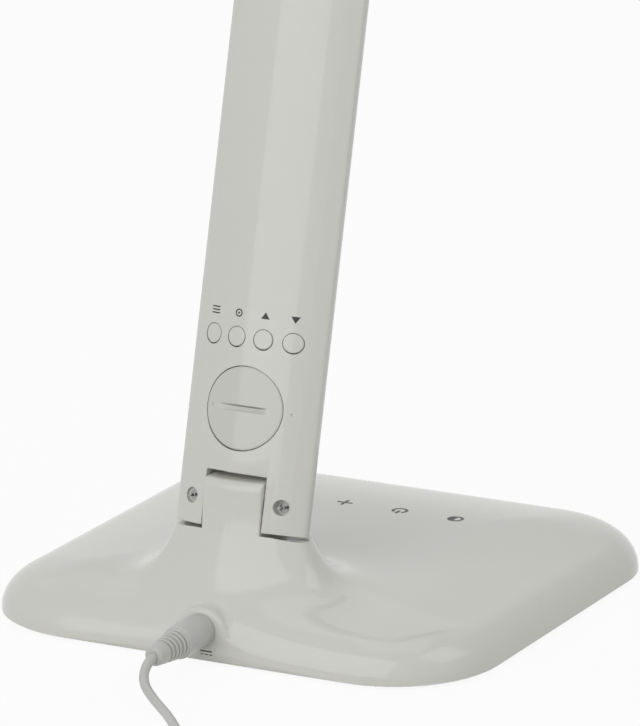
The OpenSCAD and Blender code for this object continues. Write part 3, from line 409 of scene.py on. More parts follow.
cover_sizes = {
    "Straight Half Width": BASE_W/2 - BASE_CORNER, "Straight Half Depth": BASE_D/2 - BASE_CORNER,
    "Corner": BASE_CORNER, "Wall": WALL, "Edge Height": 1.3, "Brow Rise": 10.0, "Brow Inset": 13.0,
    "Dome Rise": 6.5, "Dome Run": 50.0, "Neck Middle": HINGE_Y, "Neck Side": neck_side,
    "Neck Reach": neck_reach, "Neck Round": NECK_ROUND, "Neck Round Middle": neck_middle,
    "Neck Corner": NECK_CORNER, "Neck Nose": NECK_NOSE, "Neck Nose Side": NECK_HALF - NECK_NOSE,
    "Neck Front Height": NECK_FRONT_Z, "Neck Back Rise": NECK_Z - NECK_FRONT_Z,
    "Neck Depth": 2*NECK_BACK, "Neck Crown": NECK_CROWN, "Neck Hollow": 8.0, "Flare": 7.0,
    "Hump Radius": 9.2, "Hump Height": 7.8, "Hump Face": 80.6, "Hump Edge": 1.6, "Hump Blend": 4.0,
    "Flank Drop": 60.0, "Out Of The Way": -100.0}
rule, cover_inputs = sized_tree("base_cover_height", {**dict.fromkeys(cover_sizes, "Float"), "Finish": "Material"})
size = add(rule, "NodeGroupInput").outputs
spot = add(rule, "ShaderNodeSeparateXYZ", {0: add(rule, "GeometryNodeInputPosition")}).outputs
value = {"x": spot[0], "y": spot[1], **{title: size[title] for title in cover_sizes}}
for title in ("inside", "level"):
    value[title] = add(rule, "GeometryNodeInputNamedAttribute", {"Name": title}, data_type="FLOAT")
# each step has a name, an operation and what it works on; True at its end keeps it within 0 and 1
SIGNS = {"+": "ADD", "-": "SUBTRACT", "*": "MULTIPLY", "/": "DIVIDE", "**": "POWER", "*+": "MULTIPLY_ADD",
         "max": "MAXIMUM", "min": "MINIMUM", ">": "GREATER_THAN", "<": "LESS_THAN"}
height_steps = (
    ("off", "*", "inside", "Wall"),
    # how far a point lies in from the edge of the base
    ("ax", "ABSOLUTE", "x"), ("ay", "ABSOLUTE", "y"), ("dx", "-", "ax", "Straight Half Width"),
    ("dy", "-", "ay", "Straight Half Depth"), ("dx out", "max", "dx", 0), ("dy out", "max", "dy", 0),
    ("out", "LENGTH", "dx out", "dy out"), ("within", "max", "dx", "dy"), ("within", "min", "within", 0),
    ("both", "+", "out", "within"), ("deep", "-", "Corner", "off"), ("deep", "-", "deep", "both"),
    # how far it lies out from the neck: from its nose, a back corner or its round back
    ("from hinge", "-", "y", "Neck Middle"), ("nose x", "-", "ax", "Neck Nose Side"),
    ("nose x", "max", "nose x", 0), ("nose y", "min", "from hinge", 0),
    ("nose", "LENGTH", "nose x", "nose y"), ("nose", "-", "nose", "Neck Nose"),
    ("from round", "-", "y", "Neck Round Middle"), ("past corner", "-", "from round", "Neck Reach"),
    ("corner x", "-", "ax", "Neck Side"), ("corner", "LENGTH", "corner x", "past corner"),
    ("corner", "-", "corner", "Neck Corner"), ("back", "LENGTH", "ax", "from round"),
    ("back", "-", "back", "Neck Round"), ("across", "*", "ax", "Neck Reach"),
    ("along", "*", "from round", "Neck Side"), ("beside", ">", "across", "along"),
    ("back", "MIX", "beside", "back", "corner"), ("behind", ">", "past corner", 0),
    ("away", "MIX", "behind", "nose", "back"), ("away", "+", "away", "off"),
    # the brow over the edge, and the domed top
    ("brow", "/", "deep", "Brow Inset", True), ("brow", "-", 1, "brow"),
    ("brow", "**", "brow", SIDE_POWER), ("brow", "-", 1, "brow", True),
    ("brow", "**", "brow", 1/SIDE_POWER), ("slab", "*+", "brow", "Brow Rise", "Edge Height"),
    ("dome", "/", "deep", "Dome Run", True), ("dome", "-", 1, "dome"), ("dome", "**", "dome", 2),
    ("dome", "-", 1, "dome"), ("slab", "*+", "dome", "Dome Rise", "slab"),
    # the flare, which falls off from the crowned top of the neck
    ("away", "max", "away", 0), ("away", "/", "away", "Flare"), ("away", "*", "away", -1),
    ("share", "EXPONENT", "away"), ("slope", "/", "from hinge", "Neck Depth"),
    ("slope", "+", "slope", 0.5, True), ("crown", "*+", "slope", "Neck Back Rise", "Neck Front Height"),
    ("sag", "*", "x", "x"), ("sag", "/", "sag", "Neck Crown"), ("crown", "-", "crown", "sag"),
    ("hollow", "*", "inside", "Neck Hollow"), ("crown", "-", "crown", "hollow"),
    ("lift", "-", "crown", "slab"), ("height", "*+", "lift", "share", "slab"), ("thick", "*", "off", -1.1),
    ("height", "+", "height", "thick"),
    # the hump: a half round along Y, rounded at its face, with steep flanks
    ("wide", "/", "x", "Hump Radius"), ("wide", "ABSOLUTE", "wide"), ("round", "**", "wide", 2),
    ("round", "-", 1, "round", True), ("round", "SQRT", "round"),
    ("hump", "*+", "round", "Hump Radius", "Hump Height"), ("flank", "-", "wide", 0.99),
    ("flank", "max", "flank", 0), ("flank", "*", "flank", "Flank Drop"), ("hump", "-", "hump", "flank"),
    ("face", "-", "Hump Face", "y"), ("face", "/", "face", "Hump Edge"), ("edge", "-", 1, "face", True),
    ("edge", "**", "edge", 2), ("edge", "-", 1, "edge"), ("edge", "SQRT", "edge"),
    ("edge", "-", 1, "edge"), ("edge", "*", "edge", "Hump Edge"), ("hump", "-", "hump", "edge"),
    ("past face", "<", "face", 0), ("gone", "max", "past face", "inside"),
    ("in neck", "<", "y", "Neck Middle"), ("gone", "max", "gone", "in neck"),
    ("hump", "*+", "gone", "Out Of The Way", "hump"),
    ("height", "SMOOTH_MAX", "height", "hump", "Hump Blend"), ("fixed", ">", "level", 0),
    ("height", "MIX", "fixed", "height", "level"))
for title, operation, *terms in height_steps:
    within = terms[-1] is True
    terms = [value.get(term, term) for term in terms[:len(terms) - within]]
    if operation == "LENGTH":
        reach = add(rule, "ShaderNodeCombineXYZ", dict(enumerate(terms)))
        value[title] = add(rule, "ShaderNodeVectorMath", {0: reach}, operation=operation).outputs["Value"]
    elif operation == "MIX":
        value[title] = add(rule, "ShaderNodeMix", dict(zip((0, 2, 3), terms)), data_type="FLOAT")
    else:
        value[title] = add(rule, MATH, dict(enumerate(terms)), operation=SIGNS.get(operation, operation),
                           use_clamp=within)
raised = add(rule, "GeometryNodeSetPosition", {
    "Geometry": size["Geometry"],
    "Position": add(rule, "ShaderNodeCombineXYZ", {0: value["x"], 1: value["y"], 2: value["height"]})})
raised = add(rule, "GeometryNodeRealizeInstances", {"Geometry": raised})
raised = add(rule, "GeometryNodeSetMaterial", {"Geometry": raised, "Material": size["Finish"]})
add(rule, "NodeGroupOutput", {"Geometry": raised})


def settle(made):
    """Turns an object's modifiers into its plain mesh."""
    drawn = made.evaluated_get(bpy.context.evaluated_depsgraph_get())
    mesh = bpy.data.meshes.new_from_object(drawn)
    made.modifiers.clear()
    made.data = mesh
    return made


def shaped(name, mesh, tree, inputs, values):
    """Object in the making that a tree with these values of its inputs makes from a mesh."""
    made = stand(name, mesh)
    change = made.modifiers.new("shape", "NODES")
    change.node_group = tree
    for title, value in values.items():
        change[inputs[title]] = value
    return settle(made)


def block(name, part, place):
    """Object still in the making, from a closed part."""
    return stand(name, solid(name, [part], place))


def carve(made, operation, place, *parts):
    """Cuts from, joins to or keeps within an object each part, or other object in the making."""
    for part in parts:
        tool = part if isinstance(part, bpy.types.Object) else block("tool", part, place)
        change = made.modifiers.new("change", "BOOLEAN")
        change.operation = operation
        change.solver = "EXACT"
        change.object = tool
        settle(made)
        mesh = tool.data
        bpy.data.objects.remove(tool)
        bpy.data.meshes.remove(mesh)
    return made


def prism(outline, low, high, along=2):
    """Points and faces of an outline drawn out between two heights along one axis."""
    return loft([[(*p[:along], z, *p[along:]) for p in outline] for z in (low, high)])


def soften(made, width, segments=2):
    """Rounds the sharp edges of an object by a width in mm."""
    bevel = made.modifiers.new("soften", "BEVEL")
    bevel.width = width*MM
    bevel.segments = segments
    bevel.limit_method = "ANGLE"
    bevel.angle_limit = math.radians(CREASE)
    bevel.use_clamp_overlap = False
    return settle(made)


def finished(made, material, body, replaced):
    """The finished mesh of an object in the making, as a piece."""
    name, mesh = made.name, made.data
    bpy.data.objects.remove(made)
    return piece(name, mesh, material, body, replaced)


# gloss ABS: a clear mould polish with a slow waviness in the reflections and a warm,
# slightly uneven white; the waves are drawn deeper than they are
white_abs = finish("moulded_gloss_abs", "#D6D6D0", "#D1D1CA", 0.1, 60, 5, 0.004, IOR=1.46)
cover = shaped("base_shell", cover_plan, rule, cover_inputs, {
    **{title: length*MM for title, length in cover_sizes.items()}, "Finish": white_abs})
hinge = Matrix.Translation((0, HINGE_Y, HINGE_Z))
TONGUE_HALF = 9.95
TONGUE_R = 8.2
TONGUE_BACK = 8.3
TONGUE_CORNER = 3.0
TONGUE_FOOT = -14.0
TONGUE_STEPS = 8
EAR_ROOM = (9.55, 22.95)
tongue_outline = arc(0, 0, TONGUE_R, 90, 180, 24) + [
    (-TONGUE_R, TONGUE_FOOT), (NECK_BACK + 0.25, TONGUE_FOOT), (NECK_BACK + 0.25, NECK_Z - HINGE_Z - 1.4)] + arc(
    TONGUE_BACK - TONGUE_CORNER, TONGUE_R - TONGUE_CORNER, TONGUE_CORNER, 0, 90, 12)
tongue_rings = [[(x, y - max(y, 0)/NECK_BACK*(NECK_ROUND - math.sqrt(NECK_ROUND**2 - x*x)), z)
                 for y, z in tongue_outline]
                for x in (TONGUE_HALF*i/TONGUE_STEPS for i in range(-TONGUE_STEPS, TONGUE_STEPS + 1))]
tongue = soften(block("tongue", loft(tongue_rings), hinge), 0.5, 3)
ear_room = turned([(EAR_SWEEP, EAR_ROOM[0]), (EAR_SWEEP - EAR_TAPER, EAR_ROOM[1])], 120)
for side in (-1, 1):
    carve(cover, "DIFFERENCE", hinge @ Matrix.Rotation(side*math.pi/2, 4, "Y"), ear_room)
carve(cover, "UNION", None, tongue)
cover = finished(cover, white_abs, "base", ["base_cover"])

# Touch key signs: four small signs in black ink, screen-printed on the top in front of the
# arm over the sensor springs. They read from the front of the lamp.
TOUCH_Y = -34.3
TOUCH_PITCH = 19.6
INK_LIFT = 0.02
INK_SINK = 0.06
SIGN_R = 2.7
SIGN_LINE = 1.0


def bar(x0, y0, x1, y1):
    return [[(x0, y0), (x1, y0), (x1, y1), (x0, y1)]]


def band(outer, inner, first, last, steps=24):
    """Quads of a ring, or of a part of one, about the origin."""
    out, within = arc(0, 0, outer, first, last, steps), arc(0, 0, inner, first, last, steps)
    return [[within[i], out[i], out[i + 1], within[i + 1]] for i in range(steps)]


def film(shapes, drop):
    """Closed flat parts of printed ink; drop puts a plan point on the surface, some way above it."""
    return [loft([[drop(p, lift) for p in outline] for lift in (-INK_SINK, INK_LIFT)]) for outline in shapes]


def on_top(p, lift):
    """Point of the base cover's top over a plan point."""
    at = cover.ray_cast((p[0]*MM, p[1]*MM, 0.1), (0, 0, -1))[1]/MM
    return (at.x, at.y, at.z + lift)


half_line = SIGN_LINE/2
half_disc = arc(0, 0, SIGN_R - half_line, -90, 90, 16)
key_signs = [
    band(SIGN_R, SIGN_R - SIGN_LINE, 0, 360, 36) + [[(0, 0), a, b] for a, b in zip(half_disc, half_disc[1:])],
    band(SIGN_R, SIGN_R - SIGN_LINE, 125, 415, 36) + bar(-half_line, 0.3, half_line, SIGN_R + 0.5),
    bar(-SIGN_R, -half_line, SIGN_R, half_line) + bar(-half_line, -SIGN_R, half_line, SIGN_R),
    bar(-SIGN_R, -half_line, SIGN_R, half_line)]
bpy.context.view_layer.update()
key_parts = []
for i, shapes in enumerate(key_signs):
    middle = (i - 1.5)*TOUCH_PITCH
    key_parts += film([[(x + middle, y + TOUCH_Y) for x, y in outline] for outline in shapes], on_top)

# screen ink: a thin, nearly black film, a little duller than the gloss under it
black_ink = finish("screen_printed_black_ink", "#2B2B2D", "#1E1E20", 0.45, 3, 0.4, 0.004)
piece("touch_key_signs", solid("touch_key_signs", key_parts), black_ink, "base")

# Supply sign: the sign of a direct-current supply, a line over three dashes, printed in the
# same ink on the back wall under the plug.


def on_back(p, lift):
    """Point of the base cover's back wall behind a point of its view from behind."""
    at = cover.ray_cast((p[0]*MM, 0.2, p[1]*MM), (0, -1, 0))[1]/MM
    return (at.x, at.y + lift, at.z)


supply_sign = bar(-4.4, 3.9, -0.4, 4.3)
for i in range(3):
    supply_sign += bar(-4.4 + 1.5*i, 2.8, -3.4 + 1.5*i, 3.2)
piece("supply_sign", solid("supply_sign", film(supply_sign, on_back)), black_ink, "base")

# Floor of the base: a moulded black ABS plate with a die-cut rubber pad under it, held to
# the cover's posts by four screws, and a sawn steel plate on it that keeps the lamp standing.
# black ABS: a spark-eroded matt; rubber: duller still; raw steel: grey, with the rolls' streaks
dress(finish("moulded_matt_black_abs", "#1E1E1F", "#141415", 0.55, 20, 0.5, 0.02, IOR=1.53),
      "base_plate", "dc_jack", "tact_switches", "battery_cup")
dress(finish("die_cut_rubber", "#252525", "#191919", 0.85, 12, 0.7, 0.06), "base_pad")
dress(finish("rolled_raw_steel", "#77777A", "#5E5E62", 0.45, 18, 1.5, 0.02, stretch=(1, 6, 1), Metallic=1.0),
      "counterweight")

# Screws of the lamp: cross-recessed pan heads in zinc-plated steel, cold-headed and rolled.
# All are one shape at several sizes, set on the points where a piece is held.
screw, screw_inputs = sized_tree("cross_recess_screw", {
    **dict.fromkeys(("Head Radius", "Head Height", "Shank Radius", "Shank Length"), "Float"),
    "Turn": "Vector", "Finish": "Material"})
size = add(screw, "NodeGroupInput").outputs
dome = add(screw, "GeometryNodeMeshUVSphere", {"Segments": 40, "Rings": 20, "Radius": 1.0})
girth = add(screw, "ShaderNodeCombineXYZ", {0: size["Head Radius"], 1: size["Head Radius"], 2: size["Head Height"]})
dome = add(screw, "GeometryNodeTransform", {"Geometry": dome, "Scale": girth})
under = add(screw, "GeometryNodeMeshCube", {"Size": (0.02, 0.02, 0.02)})
under = add(screw, "GeometryNodeTransform", {"Geometry": under, "Translation": (0, 0, -0.01)})
head = add(screw, "GeometryNodeMeshBoolean", {"Mesh 1": dome, "Mesh 2": under}, operation="DIFFERENCE")
recess_shares = (("Head Radius", 1.15), ("Head Radius", 0.3), ("Head Height", 1.3))
recess_size = add(screw, "ShaderNodeCombineXYZ", {
    i: add(screw, MATH, {0: size[title], 1: share}, operation="MULTIPLY")
    for i, (title, share) in enumerate(recess_shares)})
recess = add(screw, "GeometryNodeMeshCube", {"Size": recess_size})
recess_up = add(screw, "ShaderNodeCombineXYZ", {2: size["Head Height"]})
for turn in (0.25, 0.25 + math.pi/2):
    cutter = add(screw, "GeometryNodeTransform", {
        "Geometry": recess, "Translation": recess_up, "Rotation": (0, 0, turn)})
    head = add(screw, "GeometryNodeMeshBoolean", {"Mesh 1": head, "Mesh 2": cutter}, operation="DIFFERENCE")
shank = add(screw, "GeometryNodeMeshCylinder", {
    "Vertices": 24, "Radius": size["Shank Radius"], "Depth": size["Shank Length"]})
sink = add(screw, MATH, {0: size["Shank Length"], 1: -0.5, 2: 0.0002}, operation="MULTIPLY_ADD")
shank = add(screw, "GeometryNodeTransform", {
    "Geometry": shank, "Translation": add(screw, "ShaderNodeCombineXYZ", {2: sink})})
whole = add(screw, "GeometryNodeMeshBoolean", {"Mesh 2": [head, shank]}, operation="UNION")
placed = add(screw, "GeometryNodeInstanceOnPoints", {
    "Points": size["Geometry"], "Instance": whole, "Rotation": size["Turn"]})
placed = add(screw, "GeometryNodeRealizeInstances", {"Geometry": placed})
placed = add(screw, "GeometryNodeSetMaterial", {"Geometry": placed, "Material": size["Finish"]})
add(screw, "NodeGroupOutput", {"Geometry": placed})

# zinc plate: steel with the streaks of the heading die; its grey is painted darker than bright zinc, as painted
# shade for the dark reflections the heads show down in their holes
zinc = finish("zinc_plated_steel_painted_dark", "#858583", "#5C5C5B", 0.2, 1.5, 0.25, 0.006, Metallic=1.0)


def fasten(name, spots, tilt, head_r, head_h, shank_r, shank_l, body):
    """Screws on points in mm, their heads turned by a tilt about X, in place of the CAD's."""
    points = bpy.data.meshes.new(name)
    points.from_pydata([Vector(p)*MM for p in spots], [], [])
    made = shaped(name, points, screw, screw_inputs, {
        "Head Radius": head_r*MM, "Head Height": head_h*MM, "Shank Radius": shank_r*MM,
        "Shank Length": shank_l*MM, "Turn": (math.radians(tilt), 0.0, 0.0), "Finish": zinc})
    finished(made, zinc, body, [name])


SCREW_R = 2.15
SCREW_H = 1.6
SCREW_SHANK_R = 1.5
BASE_SCREW_X, BASE_SCREW_Y, BASE_SEAT_Z = 62.7, 60.5, 1.9
fasten("base_screws", [(a*BASE_SCREW_X, b*BASE_SCREW_Y, BASE_SEAT_Z) for a in (-1, 1) for b in (-1, 1)],
       180.0, SCREW_R, 1.4, 1.3, 7.5, "base")

# Touch electronics in the base: a glass-fibre board on turned brass standoffs, with contact
# springs up to the keys and a lead to the moulded supply socket.
# solder resist: a glossy green; brass: warm, with turning marks; wire: a satin red
dress(finish("glass_fibre_board", "#1F5A35", "#174A2A", 0.35, 8, 0.6, 0.01, IOR=1.5),
      "touch_board", "clock_board")
dress(finish("turned_brass", "#C9A45A", "#B08C45", 0.28, 3, 0.3, 0.005, stretch=(1, 1, 4), Metallic=1.0),
      "board_standoffs", "touch_springs", "battery_contact")
dress(finish("red_wire_pvc", "#A82A24", "#93211D", 0.4, 6, 0.5, 0.01, IOR=1.53), "base_wire", "arm_wire")

# Hinges: ground steel shafts with flats at their ends and stamped friction washers.
# ground steel: a pale sheen with fine lines along the shaft
dress(finish("ground_steel", "#B4B4B4", "#98989A", 0.3, 4, 0.3, 0.006, stretch=(8, 1, 1), Metallic=1.0),
      "lower_shaft", "lower_washers", "upper_shaft", "upper_washers")

# Rear shell of the arm: a long gloss ABS moulding with a rounded back. Ears at both ends
# take the hinge shafts, and the clock's buttons and battery cover sit in its lower back.
ARM_LEAN = 14.4
ARM_L = 330.0
ARM_ROUND = 35.0
ARM_EDGE = 1.8
ARM_TOP_R = 11.3
FRONT_R = 6.3
SEAM_W = -5.0
NOTCH_HALF = 10.3
NOTCH_V = 8.9
HEAD_AXIS_W = -1.5
EAR_SCREW_U = 15.4
EAR_SEAT_W = 2.2
SHAFT_END_U = EAR_SCREW_U - 0.4
SHAFT_END = 9.5
HOLLOW_V = 13.0
OUTSIDE = 16.0
BUTTON_V = 50.0
BUTTON_PITCH = 9.1
BUTTON_HOLE_R = 3.25
BATTERY_V = 28.5
BATTERY_HOLE_R = 13.1
MARK_R = 0.75
arm_place = hinge @ Matrix.Rotation(math.radians(ARM_LEAN), 4, "X")


def d_section(half, top, round_r, edge, low):
    """Outline of a bar with a rounded top and rounded upper edges."""
    middle = top - round_r
    x = half - edge
    y = middle + math.sqrt((round_r - edge)**2 - x*x)
    lean = math.degrees(math.asin(x/(round_r - edge)))
    return ([(-half, low), (half, low)] + arc(x, y, edge, 0, 90 - lean, 8)
            + arc(0, middle, round_r, 90 - lean, 90 + lean, 50)[1:-1] + arc(-x, y, edge, 90 + lean, 180, 8))


def box(a, b):
    """Points and faces of a box between two corners."""
    return prism([(a[0], a[1]), (b[0], a[1]), (b[0], b[1]), (a[0], b[1])], a[2], b[2])


def rod(x, z, r, low, high):
    """Points and faces of a rod along Y."""
    return prism(circle(x, z, r), low, high, along=1)


notches = [box((-NOTCH_HALF, -OUTSIDE, low), (NOTCH_HALF, OUTSIDE, high))
           for low, high in ((-17, NOTCH_V), (ARM_L - NOTCH_V, ARM_L + 20))]
top_trim = prism([(-OUTSIDE, ARM_L)] + arc(HEAD_AXIS_W, ARM_L, ARM_TOP_R, 180, 0, 40)
                 + [(OUTSIDE, ARM_L), (OUTSIDE, ARM_L + 20), (-OUTSIDE, ARM_L + 20)], -30, 30, along=0)
front_u, front_w = ARM_HALF - FRONT_R, FRONT_R - ARM_FRONT
front_turn = math.degrees(math.asin((front_w - SEAM_W)/FRONT_R))
rear_outline = (arc(-front_u, front_w, FRONT_R, 180, 180 + front_turn, 8)
                + arc(front_u, front_w, FRONT_R, -front_turn, 0, 8)
                + d_section(ARM_HALF, ARM_BACK, ARM_ROUND, ARM_EDGE, SEAM_W)[2:])
rear = block("arm_back_shell", prism(rear_outline, -EAR_END, ARM_L + ARM_TOP_R), arm_place)
carve(rear, "DIFFERENCE", arm_place, notches[0])
soften(rear, 0.35, 3)
hollow = prism(d_section(ARM_HALF - WALL, ARM_BACK - WALL, ARM_ROUND - WALL, 0.4, SEAM_W - 1),
               HOLLOW_V, ARM_L - HOLLOW_V)
carve(rear, "DIFFERENCE", arm_place, notches[1], top_trim, hollow)
collar = block("collar", rod(0, BATTERY_V, BATTERY_HOLE_R + 2, 0.9, ARM_BACK), arm_place)
carve(collar, "INTERSECT", arm_place,
      prism(d_section(ARM_HALF - 1, ARM_BACK - 1, ARM_ROUND - 1, 0.6, SEAM_W), HOLLOW_V, 60))
carve(rear, "UNION", None, collar)
carve(rear, "DIFFERENCE", arm_place,
      *[rod(s*EAR_SCREW_U, v, r, low, OUTSIDE) for s in (-1, 1) for v in (0, ARM_L)
        for r, low in ((SCREW_R + 0.3, EAR_SEAT_W), (SCREW_SHANK_R, -6))],
      *[rod((i - 1.5)*BUTTON_PITCH, BUTTON_V, BUTTON_HOLE_R, 0, OUTSIDE) for i in range(4)],
      *[rod(0, BATTERY_V, BATTERY_HOLE_R - step, low, high)
        for step, low, high in ((0, 4.5, OUTSIDE), (1.5, 0, OUTSIDE), (0.4, 0, 3.2))],
      prism(arc(-BATTERY_HOLE_R - 2.6, BATTERY_V, MARK_R, 0, 240, 2), 4.05, OUTSIDE, along=1),
      *[box((s*SHAFT_END_U - SHAFT_END/2, -6, v - r), (s*SHAFT_END_U + SHAFT_END/2, w + 0.5, v + r))
        for s in (-1, 1) for v, w, r in ((0, 0, 4.0), (ARM_L, HEAD_AXIS_W, 3.0))])
finished(rear, white_abs, "arm", ["arm_rear_shell"])
tilt = ARM_LEAN - 90.0
for name, v in (("lower_screws", 0), ("upper_screws", ARM_L)):
    fasten(name, [arm_place @ Vector((s*EAR_SCREW_U, EAR_SEAT_W, v)) for s in (-1, 1)],
           tilt, SCREW_R, SCREW_H, SCREW_SHANK_R, 5.0, "arm")

# Front cover of the arm: the flat moulding that closes the rear shell, in the same ABS,
# with an opening for the clock's window. It snaps in behind two lips, and its lower edge is
# rounded, so that the ears turn in the neck.
FOOT_R = 4.0
window_half, window_low, window_high = 15.0, 21.0, 63.0
front_outline = (arc(-front_u, front_w, FRONT_R, 180 + front_turn, 270, 12)
                 + arc(front_u, front_w, FRONT_R, 270, 360 - front_turn, 12))
foot = arc(FOOT_R - ARM_FRONT, FOOT_R - EAR_END, FOOT_R, 230, 180, 6) + [(-ARM_FRONT, ARM_L + ARM_TOP_R)]
front = block("arm_face_cover", loft([[(u, max(w, least), v) for u, w in front_outline]
                                      for least, v in foot]), arm_place)
carve(front, "DIFFERENCE", arm_place, notches[0],
      box((-window_half, -OUTSIDE, window_low), (window_half, 4, window_high)))
soften(front, 0.3)
carve(front, "DIFFERENCE", arm_place, notches[1], top_trim)
finished(front, white_abs, "arm", ["arm_front_cover"])

# Clock: a tinted acrylic window over a liquid-crystal panel, whose four figures show faintly,
# on a board held by four small screws, with a cell in a moulded cup and four push switches.
# tinted acrylic: a dark clear gloss; crystal panel: a flat greenish grey
dress(finish("tinted_acrylic", "#3A3F45", "#33383D", 0.06, 40, 6, 0.002, IOR=1.49, **{"Transmission Weight": 0.75}),
      "display_window")
dress(finish("liquid_crystal_glass", "#9AA595", "#8F9A8B", 0.22, 25, 2, 0.002, IOR=1.52), "display_panel")
BOARD_SCREW_U, BOARD_W, BOARD_SCREW_V = 16.4, -2.3, (16.4, 67.6)
fasten("board_screws", [arm_place @ Vector((s*BOARD_SCREW_U, BOARD_W, v)) for s in (-1, 1) for v in BOARD_SCREW_V],
       tilt, 1.6, 0.9, 0.8, 2.4, "arm")
FIGURE_U, FIGURE_V = (-9.6, -4.0, 4.0, 9.6), 42.0
FIGURE_HALF = 2.0
SEGMENT_L = 3.6


def segment(x, y, length, upright):
    """Outline of one bar of a figure, pointed at both ends."""
    h, w = length/2, 0.42
    outline = [(-h, 0), (-h + w, -w), (h - w, -w), (h, 0), (h - w, w), (-h + w, w)]
    return [(x + (b if upright else a), y + (a if upright else b)) for a, b in outline]


bars = [(0, y, False) for y in (2, 0, -2)] + [(x, y, True) for y in (1, -1) for x in (-1, 1)]
figures = [segment(middle + x*FIGURE_HALF, FIGURE_V + y*FIGURE_HALF, SEGMENT_L, upright)
           for middle in FIGURE_U for x, y, upright in bars]
figures += [arc(0, FIGURE_V + y, 0.5, 0, 330, 11) for y in (-1.6, 1.6)]
# crystal segments: a faint darker grey
figure_ink = finish("liquid_crystal_segments", "#4C5550", "#434B47", 0.3, 5, 1, 0.002)
piece("clock_figures", solid("clock_figures", [prism(f, SEAM_W - 0.04, SEAM_W + 0.1, along=1) for f in figures],
                             arm_place), figure_ink, "arm")

# Clock buttons: four round ABS caps, flush with the rounded back, with a flange inside
# that keeps them in and a stem on the push switch. They sit loosely in their holes, a little
# up and to one side. A small printed sign stands over each.
BUTTON_R = 3.0
BUTTON_SINK = 0.1
BUTTON_SHIFT = (0.14, 0.1)


def back_w(u, sink=0.0):
    """Level of the arm's rounded back at a distance from its middle."""
    return ARM_BACK - ARM_ROUND + math.sqrt((ARM_ROUND - sink)**2 - u*u)


def cap(u, v, top, crown, stem):
    """Closed part of rings about a point: a crown of (radius, drop), then a stem of (radius, level)."""
    rings = [[(x, top(x) - drop, y) for x, y in circle(u, v, r)] for r, drop in crown]
    rings += [[(x, level, y) for x, y in circle(u, v, r)] for r, level in stem]
    return loft(rings, [(u, top(u), v), (u, stem[-1][1], v)])


button_crown = [(1.0, 0), (1.9, 0), (2.6, 0), (2.8, 0.03), (2.93, 0.1), (BUTTON_R, 0.26)]
button_stem = [(BUTTON_R, 0.9), (3.8, 0.9), (3.8, 0.3), (1.4, 0.3), (1.4, 0.15)]
for i, name in enumerate(("down", "up", "set", "mode")):
    u = (i - 1.5)*BUTTON_PITCH
    part = cap(u + BUTTON_SHIFT[0], BUTTON_V + BUTTON_SHIFT[1], lambda x: back_w(x, BUTTON_SINK),
               button_crown, button_stem)
    piece(f"{name}_cap", solid(f"{name}_cap", [part], arm_place), white_abs, f"{name}_button",
          [f"button_{name}"])


def on_arm(p, lift):
    """Point of the arm's back at (u, v), in the arm's own frame."""
    return (p[0], back_w(p[0]) + lift, p[1])


def wedge(half, foot, tip):
    """A triangle from its foot to its tip, in upright strips that follow the rounded back."""
    line = [(half*(i/3 - 1), foot + (tip - foot)*(1 - abs(i/3 - 1))) for i in range(7)]
    strips = [[(a[0], foot), (b[0], foot), b, a] for a, b in zip(line[1:], line[2:-1])]
    return strips + [[line[0], (line[1][0], foot), line[1]], [(line[5][0], foot), line[6], line[5]]]


label_v = BUTTON_V + 7.3
label_shapes = []
for u, shapes in ((1.5, [q for y in (-0.95, 0, 0.95) for i in range(4)
                         for q in bar(0.8*i - 1.6, y - 0.2, 0.8*i - 0.8, y + 0.2)]),
                  (0.5, band(1.25, 0.85, 0, 360) + bar(-0.3, -0.3, 0.3, 0.3)),
                  (-0.5, wedge(1.35, -0.9, 1.2)), (-1.5, wedge(1.35, 0.9, -1.2))):
    label_shapes += [[(x + u*BUTTON_PITCH, y + label_v) for x, y in outline] for outline in shapes]
piece("button_signs", solid("button_signs", film(label_shapes, on_arm), arm_place), black_ink, "arm")

# Battery cover: a round bayonet cap in ABS over the cell, with a coin slot across it and a
# small mark. Its face is a little flatter than the arm's back.
LID_R = 12.85
LID_SHIFT = 0.07
LID_TOP = 7.6
LID_ROUND = 45.0
SLOT_CUTS = ((65.0, 1.2, -1.0, 1.0), (18.5, 2.5, 0.45, 1.0))


def lid_w(u):
    return LID_TOP - LID_ROUND + math.sqrt(LID_ROUND**2 - u*u)


lid_crown = [(3.0, 0), (6.0, 0), (9.0, 0), (11.0, 0), (12.2, 0), (12.6, 0.04), (12.78, 0.14), (LID_R, 0.34)]
lid_stem = [(LID_R, 4.55), (11.25, 4.55), (11.25, 1.25), (10.3, 1.25), (10.3, 4.35)]
lid = block("battery_lid_cap", cap(0, BATTERY_V + LID_SHIFT, lid_w, lid_crown, lid_stem), arm_place)
slot_cuts = [prism(arc(0, LID_TOP + r - depth, r, 180, 360, 240), BATTERY_V + low, BATTERY_V + high)
             for r, depth, low, high in SLOT_CUTS]
mark_cut = prism(arc(LID_R - 2.25, BATTERY_V, MARK_R, 0, 240, 2), LID_TOP - 1.55, OUTSIDE, along=1)
carve(lid, "DIFFERENCE", arm_place, *slot_cuts, mark_cut)
# gloss ABS: the same polish, its white a shade darker than the arm round it
lid_abs = finish("moulded_gloss_abs_lid", "#CECEC8", "#CACAC3", 0.1, 60, 5, 0.004, IOR=1.46)
finished(lid, lid_abs, "battery_lid", ["battery_cover"])

